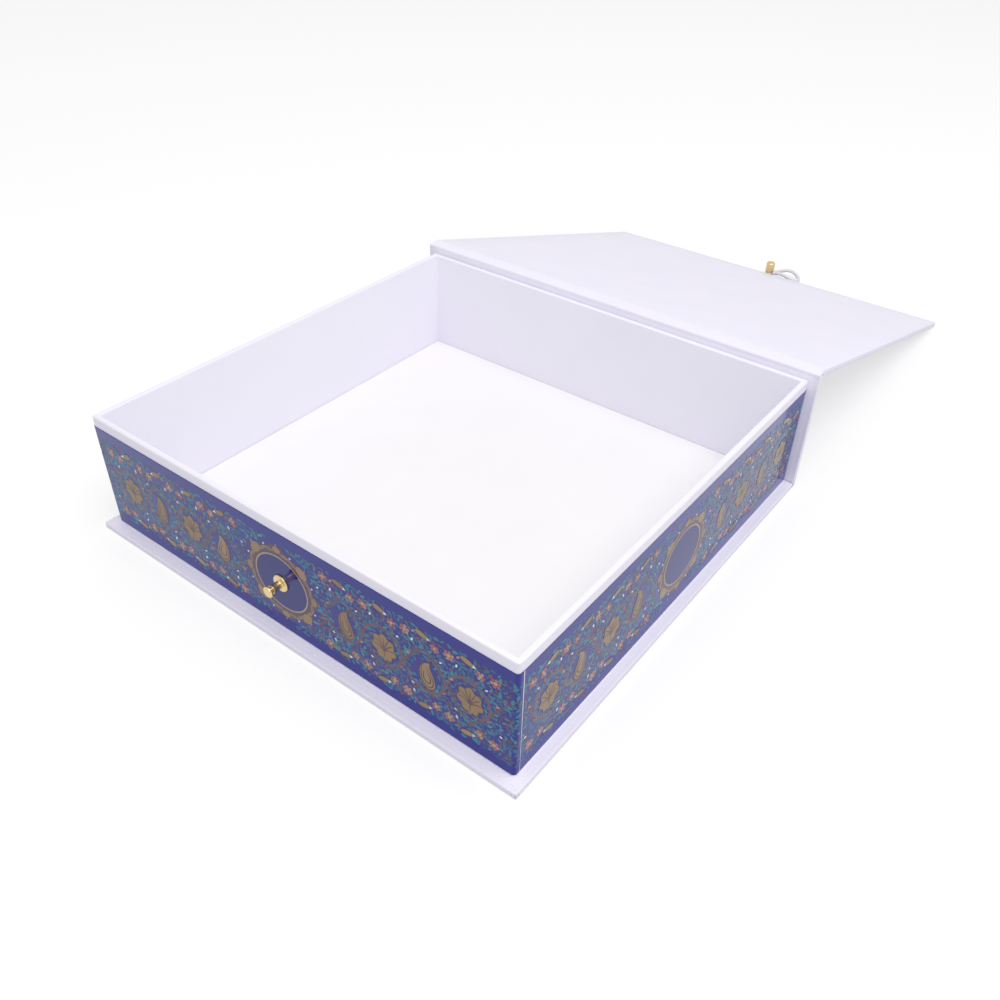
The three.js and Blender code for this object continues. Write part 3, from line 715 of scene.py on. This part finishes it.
# Brass closure: stud on the front wall and post at the lid's edge, both turned; radius and height in mm
STUD_PROFILE = [
    (0, 0), (3.4, 0), (3.4, 0.5), (3.15, 0.8), (1.8, 0.8), (1.5, 1.0), (1.5, 3.9), (1.65, 4.0),
    (1.65, 4.55), (1.15, 4.7), (1.15, 5.3), (1.95, 5.3), (2.2, 5.5), (2.2, 6.0), (2.05, 6.3), (1.5, 6.45),
    (0, 6.5),
]
POST_PROFILE = [
    (2.3, 0), (2.6, 0.3), (2.6, 0.75), (2.45, 0.85), (2.45, 1.05), (2.6, 1.15), (2.6, 6.1), (2.5, 6.55),
    (2.2, 6.9), (1.7, 7.1), (0, 7.2),
]
POST_HEIGHT = 7.2
RIVET_SHANK = 0.9  # radius of the post's rivet through the tab
RIVET_HEAD = 1.5
RIVET_HEAD_HEIGHT = 0.25
RIVET_EDGE_IN = 0.1
RIVET_EDGE_UP = 0.12
TURNED_EDGE = 0.08 * MM


def turned(name, profile, frame_of_axis, steps=48):
    """Spins a profile of radius and height round the Z axis, then puts it where it belongs."""
    line = [(radius * MM, 0, height * MM) for radius, height in profile]
    piece = mesh_of_lines(name, [line], dimensions="3D")
    bpy.ops.mesh.spin(steps=steps, angle=math.tau, center=(0, 0, 0), axis=(0, 0, 1))
    bpy.ops.mesh.select_all(action="SELECT")
    bpy.ops.mesh.remove_doubles(threshold=EPSILON)
    bpy.ops.mesh.normals_make_consistent(inside=False)
    done()
    modify(piece, "BEVEL", width=TURNED_EDGE, segments=2, limit_method="ANGLE", angle_limit=math.radians(25))
    smooth(piece, 40)
    piece.data.transform(frame_of_axis)
    return piece


def brass_closure():
    low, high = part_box("closure_stud")
    middle = (low + high) / 2
    seat = Matrix.Translation((middle.x, high.y, middle.z)) @ Matrix.Rotation(math.radians(90), 4, "X")
    stud = turned("brass_stud", STUD_PROFILE, seat)
    settle(stud, "tray_and_case", "brass", brass, "closure_stud")

    low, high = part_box("loop_post")
    seat_z = high.z / MM - POST_HEIGHT
    foot = low.z / MM - seat_z
    rivet = [
        (0, foot),
        (RIVET_HEAD - RIVET_EDGE_IN, foot),
        (RIVET_HEAD, foot + RIVET_EDGE_UP),
        (RIVET_HEAD, foot + RIVET_HEAD_HEIGHT),
        (RIVET_SHANK, foot + RIVET_HEAD_HEIGHT),
        (RIVET_SHANK, 0),
    ]
    middle = (low + high) / 2
    post = turned("brass_post", rivet + POST_PROFILE, Matrix.Translation((middle.x, middle.y, seat_z * MM)))
    settle(post, "lid", "brass", brass, "loop_post")


brass_closure()

# Print: traditional scrolling foliage in flat inks. Motifs are drawn once, flat and in millimetres, then
# copied on to each wall's sheet: u runs along it from the wall's middle, v up from the print's middle.
BAND_HALF = 18.9  # the ornament's reach above and below the middle
FRONT_REACH = 101.5  # along the sheet, round its corners
SIDE_FRONT_REACH = 96.4
SIDE_REAR_REACH = 97.6
SCROLL_PITCH = 17.6
SCROLL_START = 21.2  # where the first scroll leaves the medallion
SCROLL_RISE = 9.6
STEM_START = 17.5
STEM_STEP = 1.1
CURL_REACH = 8.9
CURL_CLOSE = 1.7  # by which a curl draws in on its way round
CURL_TURN = 262
GOLD_MOTIFS = [("boteh", 12, 1.25, 2), ("palmette", 0, 1.08, 7)]  # name, lean, size and number of lines
GOLD_CLEAR = 5.4
BORDER_ROW = 16.1
BORDER_LEAN = 14
PETALS = 6
LEAF_TRIES = 5800
LEAF_GAP = 1.3
LEAF_TIP_GAP = 0.5
TENDRIL_TRIES = 130
STEM_PEN = 1.05
TENDRIL_PEN = 0.36
BOTEH_PEN = 0.42
PALMETTE_PEN = 0.4
VEIN_PEN = 0.3
BOTEH_HALF_WIDTH = 3.6
BOTEH_HALF_HEIGHT = 6.1
FIELD = (12.6, 11.6)  # half width and height of the medallion's plain field
RING_OUTER = (12.9, 11.9)
RING_INNER = (12.35, 11.35)
GROUND = (16.9, 15.9)
MEDALLION_CLEAR = 17.9
MEDALLION_LOBES = 8
MEDALLION_SQUEEZE = 12 / 13  # height to width of the ovals that its leaves stand on
CUT_EDGE = 96.85  # bare edge of a side sheet, over the front one's turned end
CUT_EDGE_HALF = 22.65
CUT_EDGE_FOOT = 0.145  # its width below and above
CUT_EDGE_TOP = 0.387
CORNER_CUTS = 10
CORNER_CUT_STEP = 0.26
FIRST_SEED = 7
INK_SINK = 0.01
INK_STEP = 0.008  # most by which slips of one ink differ in height, so that none lie in one plane
INKS = {  # material, and height of its layer over the sheet
    "field": (field_ink, 0.035),
    "vine": (vine_ink, 0.035),
    "leaf": (teal_ink, 0.03),
    "gold": (gold_ink, 0.05),
    "coral": (coral_ink, 0.05),
    "line": (gold_line_ink, 0.062),
    "ring": (ring_ink, 0.062),
    "white": (white_ink, 0.074),
}


def oval(wide, tall, points=24, x=0.0, y=0.0, lobes=0, depth=0.0):
    """An ellipse's outline, its edge waved into lobes."""
    outline = []
    for i in range(points):
        angle = math.tau * i / points
        swell = 1 + depth * math.cos(lobes * angle)
        outline.append((x + wide * swell * math.cos(angle), y + tall * swell * math.sin(angle)))
    return outline


def ribbon(path, width):
    """The outline of a line drawn along a path with a tapered pen of that width."""
    left, right = [], []
    last = len(path) - 1
    for i, (x, y) in enumerate(path):
        before, after = path[max(i - 1, 0)], path[min(i + 1, last)]
        along = Vector((after[0] - before[0], after[1] - before[1])).normalized()
        half = width / 2 * min(1.0, 0.35 + 3 * min(i, last - i) / last)
        left.append((x - along.y * half, y + along.x * half))
        right.append((x + along.y * half, y - along.x * half))
    return left + right[::-1]


def shrunk(outline, share):
    """An outline drawn smaller about its middle."""
    middle = sum((Vector(point) for point in outline), Vector((0, 0))) / len(outline)
    return [tuple(middle + (Vector(point) - middle) * share) for point in outline]


def boteh_edge(turn):
    """A point on the edge of an upright drop, at a turn from its tip."""
    taper = 0.5 + 0.5 * math.cos(turn)
    wide = BOTEH_HALF_WIDTH * (1 - taper) ** 0.8 * (1 + 0.25 * taper)
    return wide * math.sin(turn), BOTEH_HALF_HEIGHT * math.cos(turn)


def boteh_outline():
    """A drop whose tip bends over to one side."""
    outline = []
    for i in range(28):
        x, y = boteh_edge(math.tau * i / 28)
        y += 0.1
        outline.append((x + 3.4 * max(0, y - 0.5) ** 2 / 31, y - 0.6 * max(0, y - 3.5)))
    return outline


def boteh_lines():
    """Two smaller drops inside it, open at the tip."""
    lines = []
    for scale in (0.72, 0.42):
        path = []
        for i in range(19):
            x, y = boteh_edge(math.radians(50 + 260 * i / 18))
            path.append((scale * x, scale * y - 1.5 * (1 - scale)))
        lines.append(path)
    return lines


def palmette_outline():
    """A fan of seven lobes on a short pointed foot."""
    outline = []
    for i in range(45):
        angle = math.radians(-70 + 320 * i / 44)
        reach = 4.3 + 1.35 * abs(math.cos(3.5 * (angle - math.pi / 2)))
        outline.append((0.92 * reach * math.cos(angle), reach * math.sin(angle) - 0.3))
    return outline + [(-0.9, -5.2), (0, -6.4), (0.9, -5.2)]


def palmette_lines():
    """Its middle rib, and three veins to each side."""
    lines = [[(0, -4.6 + 0.9 * i) for i in range(10)]]
    for side in (-1, 1):
        for lean in (28, 58, 92):
            bend = math.radians(lean)
            path = []
            for i in range(8):
                reach = 4.3 * i / 7
                angle = math.pi / 2 - side * bend * (0.55 + 0.45 * i / 7)
                path.append((reach * math.cos(angle), -2.2 + 1.05 * reach * math.sin(angle) + 0.25 * i))
            lines.append(path)
    return lines


def draw_motifs():
    """The motifs of the print, each in one ink, as flat meshes about their own middle."""
    leaf = [
        (0, 0), (0.25, 0.22), (0.55, 0.27), (0.82, 0.15), (1, 0), (0.78, -0.12), (0.5, -0.22), (0.2, -0.2),
    ]
    petals = []
    for k in range(PETALS):
        angle = math.tau * k / PETALS
        petals.append(oval(0.16, 0.15, 8, 0.33 * math.cos(angle), 0.33 * math.sin(angle)))
    boteh = boteh_outline()
    palmette = palmette_outline()
    border_leaf = oval(2.8, 1.3, 14)
    tendril = [(0.55 * i - 2.2, 0.55 * math.sin(0.9 * i)) for i in range(9)]
    return {
        "leaf": slip("teal_leaf", leaf),
        "petal": [slip("rosette_petal", outline) for outline in petals],
        "eye": slip("rosette_eye", oval(0.17, 0.17, 8)),
        "boteh": slip("boteh", boteh),
        "palmette": slip("palmette", palmette),
        "border_leaf": slip("border_leaf", border_leaf),
        "bud": slip("bud", oval(0.75, 0.42, 8)),
        "tip": slip("leaf_tip", [(0, 0.55), (1.2, 0), (0, -0.55), (0.3, 0)]),
        "boteh_rim": slip("boteh_rim", boteh, shrunk(boteh, 0.9)),
        "palmette_rim": slip("palmette_rim", palmette, shrunk(palmette, 0.93)),
        "border_rim": slip("border_rim", border_leaf, oval(2.55, 1.05, 14)),
        "tendril": slip("tendril", ribbon(tendril, TENDRIL_PEN)),
        "boteh_lines": [slip("boteh_line", ribbon(path, BOTEH_PEN)) for path in boteh_lines()],
        "palmette_lines": [slip("palmette_line", ribbon(path, PALMETTE_PEN)) for path in palmette_lines()],
    }


def scroll_middles(end):
    count = int((end - SCROLL_START) / SCROLL_PITCH + 0.35)
    return [SCROLL_START + SCROLL_PITCH * (k + 0.5) for k in range(count)]


def scroll_paths(end):
    """The main stem from the medallion to the wall's end, and a curl round each gold motif."""
    steps = int((end - STEM_START) / STEM_STEP)
    stem = []
    for i in range(steps + 1):
        u = STEM_START + (end - STEM_START) * i / steps
        stem.append((u, SCROLL_RISE * math.sin(math.pi * (u - SCROLL_START) / SCROLL_PITCH)))
    paths = [stem]
    for k, u in enumerate(scroll_middles(end)):
        side = 1 if k % 2 == 0 else -1
        curl = []
        for i in range(27):
            share = i / 26
            angle = math.radians(180 + CURL_TURN * share)
            reach = CURL_REACH - CURL_CLOSE * share
            curl.append((u + reach * math.cos(angle), side * reach * math.sin(angle)))
        paths.append([point for point in curl if point[0] < end])
    return paths


class Crowd:
    """Leaves laid so far, on a grid of cells, so that a new one finds its neighbours quickly."""

    CELL = 2

    def __init__(self, kept_clear):
        self.kept_clear = kept_clear
        self.cells = {}
        self.count = 0

    def cell(self, u, v):
        return int(u // self.CELL), int(v // self.CELL)

    def free(self, u, v, gap):
        if any(math.hypot(u - x, v - y) < reach for x, y, reach in self.kept_clear):
            return False
        column, row = self.cell(u, v)
        for i in (-1, 0, 1):
            for j in (-1, 0, 1):
                for x, y in self.cells.get((column + i, row + j), ()):
                    if math.hypot(u - x, v - y) < gap:
                        return False
        return True

    def add(self, u, v):
        self.cells.setdefault(self.cell(u, v), []).append((u, v))
        self.count += 1


def grow(put, crowd, root, turn, size, end):
    """Lays a leaf from its root where the band has room for it; each seventh takes the vine's ink."""
    way = math.radians(turn)
    middle = (root[0] + 0.5 * size * math.cos(way), root[1] + 0.5 * size * math.sin(way))
    tip = (root[0] + size * math.cos(way), root[1] + size * math.sin(way))
    inside = max(root[0], tip[0]) < end and abs(tip[1]) < BAND_HALF
    if inside and crowd.free(*middle, LEAF_GAP) and crowd.free(*tip, LEAF_TIP_GAP):
        crowd.add(*middle)
        put("vine" if crowd.count % 7 == 0 else "leaf", "leaf", *root, turn, size)


def half_wall(end, seed):
    """Everything printed on one half of a wall: ink, motif, u, v, turn, size and tone, and the stems."""
    chance = random.Random(seed)
    motifs, kept_clear = [], [(0, 0, MEDALLION_CLEAR)]

    def put(ink, motif, u, v, turn=0.0, size=1.0, clear=0.0):
        motifs.append((ink, motif, u, v, turn, size, chance.random()))
        if clear:
            kept_clear.append((u, v, clear))

    def rosette(u, v, size, turn):
        for petal in range(PETALS):
            put("coral", ("petal", petal), u, v, turn, size)
        put("ring", "eye", u, v, 0, size, clear=size * 0.48)

    for k, u in enumerate(scroll_middles(end)):
        kind, lean, size, lines = GOLD_MOTIFS[k % 2]
        put("gold", kind, u, 0, lean, size, clear=GOLD_CLEAR)
        put("line", kind + "_rim", u, 0, lean, size)
        for line in range(lines):
            put("line", (kind + "_lines", line), u, 0, lean, size)
        for way in (-1, 1):
            row, lean = way * BORDER_ROW, -way * BORDER_LEAN
            put("gold", "border_leaf", u - 1.2, row, lean, clear=2.0)
            put("line", "border_rim", u - 1.2, row, lean)
            put("white", "tip", u + 0.8, way * (BORDER_ROW - 0.5), lean, 1.3)
            put("coral", "bud", u - 4.6, way * (BORDER_ROW - 0.6), way * 50, 1.1, clear=0.8)
            rosette(u + 3.9, way * (BORDER_ROW - 3.0), 3.9, 20 * k)
            put("white", "bud", u - 5.2, way * (BORDER_ROW - 4.6), way * 70, clear=0.7)
    for k in range(math.ceil((end - 2 - SCROLL_START) / SCROLL_PITCH)):
        u = SCROLL_START + SCROLL_PITCH * k
        row = BORDER_ROW - (2.2 if k else 0.7)  # beside the medallion they stand further out
        rosette(u + 0.6, row, 4.4, 15)
        rosette(u + 0.6, -row, 4.4, 45)
        put("coral", "bud", u + 1.6, 4.3, 35, 1.2, clear=0.9)
        put("coral", "bud", u - 1.4, -4.5, 35, 1.2, clear=0.9)
        put("white", "bud", u + 3.1, -8.2, -20, 0.8, clear=0.7)
        put("white", "bud", u - 2.6, 8.6, 20, 0.8, clear=0.7)

    stems = scroll_paths(end)
    crowd = Crowd(kept_clear)
    for path in stems:
        for before, root, after in zip(path, path[1:], path[2:]):
            along = math.degrees(math.atan2(after[1] - before[1], after[0] - before[0]))
            for side in (-1, 1):
                size = chance.uniform(2.0, 3.0)
                turn = along + side * chance.uniform(35, 60)
                grow(put, crowd, root, turn, size, end)
    for _ in range(TENDRIL_TRIES):
        spot = (chance.uniform(12, end - 2.5), chance.uniform(2 - BAND_HALF, BAND_HALF - 2))
        if crowd.free(*spot, 0):
            put("vine", "tendril", *spot, chance.uniform(0, 360), chance.uniform(0.7, 1.2))
    for _ in range(LEAF_TRIES):
        spot = (chance.uniform(6, end), chance.uniform(-BAND_HALF, BAND_HALF))
        grow(put, crowd, spot, chance.uniform(0, 360), chance.uniform(1.6, 2.9), end)
    return motifs, stems


def turned_flat(outline, angle):
    along, across = math.cos(angle), math.sin(angle)
    return [(x * along - y * across, x * across + y * along) for x, y in outline]


def spun(outline, angle, reach):
    """An outline carried round the medallion's oval to an angle, at a distance along its wide axis."""
    heart = (reach * math.cos(angle), MEDALLION_SQUEEZE * reach * math.sin(angle))
    return [(x + heart[0], y + heart[1]) for x, y in turned_flat(outline, angle)]


def medallion():
    """A plain oval field in a pale ring, on a lobed ground with gold leaves, cartouches and florets."""
    shapes = {ink: [] for ink in INKS}

    def add(ink, name, *outlines):
        shapes[ink].append(slip("medallion_" + name, *outlines))

    add("field", "field", oval(*FIELD, 64))
    add("vine", "ground", oval(*GROUND, 96, lobes=MEDALLION_LOBES, depth=0.05), oval(*FIELD, 48))
    add("ring", "ring", oval(*RING_OUTER, 64), oval(*RING_INNER, 64))
    vein = ribbon([(0, -2.2), (0, 0), (0, 2.2)], VEIN_PEN)
    for k in range(MEDALLION_LOBES):
        angle = math.tau * k / MEDALLION_LOBES
        bulge = 1.35 if k % 2 else 0.9
        add("gold", "cartouche", spun(oval(1.5 * bulge, 2.1 * bulge, 16), angle, 15.9))
        for side in (-1, 1):
            lean = angle + side * math.radians(15.5)
            leaf = turned_flat(oval(0.62, 2.5, 14), side * -0.16)
            add("gold", "leaf", spun(leaf, lean, 15.1))
            add("line", "vein", spun(vein, lean, 15.1))
        add("coral", "bud", spun(oval(0.5, 0.5, 8), angle, 18.2))
        add("white", "floret", spun(oval(0.42, 0.42, 6), angle + math.pi / MEDALLION_LOBES, 16.9))
    return shapes


def flat(ink, u, v, turn=0.0, size=1.0, tone=0.0):
    """Where a slip lies on its wall, from just inside the sheet up to its ink's layer."""
    depth = INKS[ink][1] + INK_SINK + INK_STEP * tone
    place = Matrix.Translation((u, v, -INK_SINK)) @ Matrix.Rotation(math.radians(turn), 4, "Z")
    return place @ Matrix.Diagonal((size, size, depth, 1))


def lay(sheet, shape, place, tone):
    """Adds a copy of a slip to its ink's sheet, with a tone of its own."""
    layer = sheet.verts.layers.float.get("tone") or sheet.verts.layers.float.new("tone")
    start = len(sheet.verts)
    sheet.from_mesh(shape)
    sheet.verts.ensure_lookup_table()
    for vertex in sheet.verts[start:]:
        vertex.co = place @ vertex.co
        vertex[layer] = tone


def wall_sheets(ends, seed, drawn, roundel):
    """One wall's ornament, flat, as a sheet of slips for each ink."""
    sheets = {ink: bmesh.new() for ink in INKS}
    for ink, shapes in roundel.items():
        for k, shape in enumerate(shapes):
            lay(sheets[ink], shape, flat(ink, 0, 0, tone=0.3 * (k % 4)), 0.25 + 0.15 * (k % 4))
    for mirror, end in zip((1, -1), ends):
        motifs, stems = half_wall(end, seed + mirror)
        half = Matrix.Diagonal((mirror, 1, 1, 1))
        for k, path in enumerate(stems):
            tone = 0.4 + 0.1 * k
            place = half @ flat("vine", 0, 0, tone=tone + 0.6)
            lay(sheets["vine"], slip("stem", ribbon(path, STEM_PEN)), place, tone)
        for ink, motif, u, v, turn, size, tone in motifs:
            shape = drawn[motif] if isinstance(motif, str) else drawn[motif[0]][motif[1]]
            lay(sheets[ink], shape, half @ flat(ink, u, v, turn, size, tone), tone)
    return sheets


def turn_corners(sheet, corner):
    """Rolls what is drawn past the wall's flat part round its corners, cut finely to follow the curve."""
    radius = PRINT_RADIUS / MM
    for step in range(CORNER_CUTS):
        for side in (-1, 1):
            past = [face for face in sheet.faces if max(side * v.co.x for v in face.verts) > corner - 0.1]
            edges = dict.fromkeys(edge for face in past for edge in face.edges)
            corners = dict.fromkeys(v for face in past for v in face.verts)
            parts = past + list(edges) + list(corners)
            cut = Vector((side * (corner + CORNER_CUT_STEP * step), 0, 0))
            bmesh.ops.bisect_plane(sheet, geom=parts, plane_co=cut, plane_no=(1, 0, 0))
    for vertex in sheet.verts:
        u, v, height = vertex.co
        beyond = abs(u) - corner
        if beyond > 0:
            angle = min(beyond / radius, math.pi / 2)
            reach = radius + height
            out = reach * math.cos(angle) - radius - (beyond - angle * radius)
            vertex.co = (math.copysign(corner + reach * math.sin(angle), u), v, out)


def cut_edge(way):
    """The bare paper edge of a side sheet at its front end, wider towards the top."""
    outline = [
        (CUT_EDGE, -CUT_EDGE_HALF),
        (CUT_EDGE - CUT_EDGE_FOOT, -CUT_EDGE_HALF),
        (CUT_EDGE - CUT_EDGE_TOP, CUT_EDGE_HALF),
        (CUT_EDGE, CUT_EDGE_HALF),
    ]
    return slip("cut_edge", [(way * u, v) for u, v in outline])


def printed_ornament():
    front, right, left = (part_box(side + "_print") for side in ("front", "right", "left"))
    middle = (front[0].z + front[1].z) / 2
    walls = [  # name, way along it, middle of its face, the print's reach each way, where its front end lies
        ("front", (1, 0, 0), (0, front[0].y, middle), (FRONT_REACH, FRONT_REACH), 0),
        ("right", (0, 1, 0), (right[1].x, 0, middle), (SIDE_REAR_REACH, SIDE_FRONT_REACH), -1),
        ("left", (0, -1, 0), (left[0].x, 0, middle), (SIDE_FRONT_REACH, SIDE_REAR_REACH), 1),
    ]
    drawn = draw_motifs()
    roundel = medallion()
    for k, (side, way, face, ends, front_end) in enumerate(walls):
        sheets = wall_sheets(ends, FIRST_SEED + 2 * k, drawn, roundel)
        if front_end:
            lay(sheets["white"], cut_edge(front_end), flat("white", 0, 0), 0.4)
        along = Vector(way)
        place = Matrix((along, UP, along.cross(UP))).transposed().to_4x4()
        place = Matrix.Translation(face) @ place @ Matrix.Scale(MM, 4)
        for ink, sheet in sheets.items():
            if side == "front":
                turn_corners(sheet, (front[1].x - PRINT_RADIUS) / MM)
            sheet.transform(place)
            bmesh.ops.recalc_face_normals(sheet, faces=sheet.faces)
            mesh = bpy.data.meshes.new(side + "_" + ink + "_ink")
            sheet.to_mesh(mesh)
            sheet.free()
            settle(linked(mesh.name, mesh), "tray_and_case", "printed_paper", INKS[ink][0])


printed_ornament()

# Floor, sky and lamp: a plain pale studio table under soft light from above and the right
FLOOR_SIZE = 8
FLOOR_DROP = 0.05 * MM
FLOOR_SHADED = 0.42  # part of the seen floor that takes the box's shadow
FLOOR_GLOW = 0.6
SKY_LIGHT = 0.66
SKY_SEEN = 0.82
KEY_PLACE = Vector((0.5, -0.2, 1.35))
KEY_AIM = Vector((0, 0.05, 0))
KEY_SIZE = 1.0
KEY_POWER = 10.7


def seen(tree):
    """1 for what is seen by the eye, in a mirror or through glass, and 0 for what only lights the box."""
    rays = node(tree, "LightPath").outputs
    eye = {0: rays["Is Camera Ray"], 1: rays["Is Glossy Ray"]}
    eye = node(tree, "Math", eye, operation="MAXIMUM").outputs["Value"]
    either = {0: eye, 1: rays["Is Transmission Ray"]}
    return node(tree, "Math", either, operation="MAXIMUM").outputs["Value"]


def studio_floor():
    bpy.ops.object.select_all(action="DESELECT")
    bpy.ops.mesh.primitive_plane_add(size=FLOOR_SIZE, location=(0, 0, -FLOOR_DROP))
    floor = bpy.context.object
    floor.name = "studio_floor"
    # Matt white sweep: seen nearly white, with the box's soft shadow on it
    material, tree = blank("matt_white_sweep")
    matt = node(tree, "BsdfDiffuse", {"Color": linear("#D4D3D8")}).outputs["BSDF"]
    shaded = node(tree, "BsdfDiffuse", {"Color": [FLOOR_SHADED] * 3 + [1]}).outputs["BSDF"]
    glow = node(tree, "Emission", {"Color": linear("#FFFFFF"), "Strength": FLOOR_GLOW}).outputs["Emission"]
    bright = node(tree, "AddShader", {0: shaded, 1: glow}).outputs["Shader"]
    both = node(tree, "MixShader", {"Fac": seen(tree), 1: matt, 2: bright}).outputs["Shader"]
    node(tree, "OutputMaterial", {"Surface": both})
    floor.data.materials.append(material)


def studio_sky():
    world = bpy.data.worlds.new("studio")
    world.use_nodes = True
    tree = world.node_tree
    tree.nodes.clear()
    # Pale backdrop to the eye and in the gloss, and a softer light on the box
    strength = node(tree, "MapRange", {"Value": seen(tree), "To Min": SKY_LIGHT, "To Max": SKY_SEEN})
    sky = node(tree, "Background", {"Color": linear("#FFFFFF"), "Strength": strength.outputs["Result"]})
    node(tree, "OutputWorld", {"Surface": sky.outputs["Background"]})
    bpy.context.scene.world = world


def soft_box():
    lamp = bpy.data.lights.new("key", "AREA")
    lamp.shape = "SQUARE"
    lamp.size = KEY_SIZE
    lamp.energy = KEY_POWER
    box = linked("key", lamp)
    box.location = KEY_PLACE
    box.rotation_euler = (KEY_AIM - KEY_PLACE).to_track_quat("-Z", "Y").to_euler()


studio_floor()
studio_sky()
soft_box()

view = bpy.context.scene.view_settings
view.view_transform = "Standard"
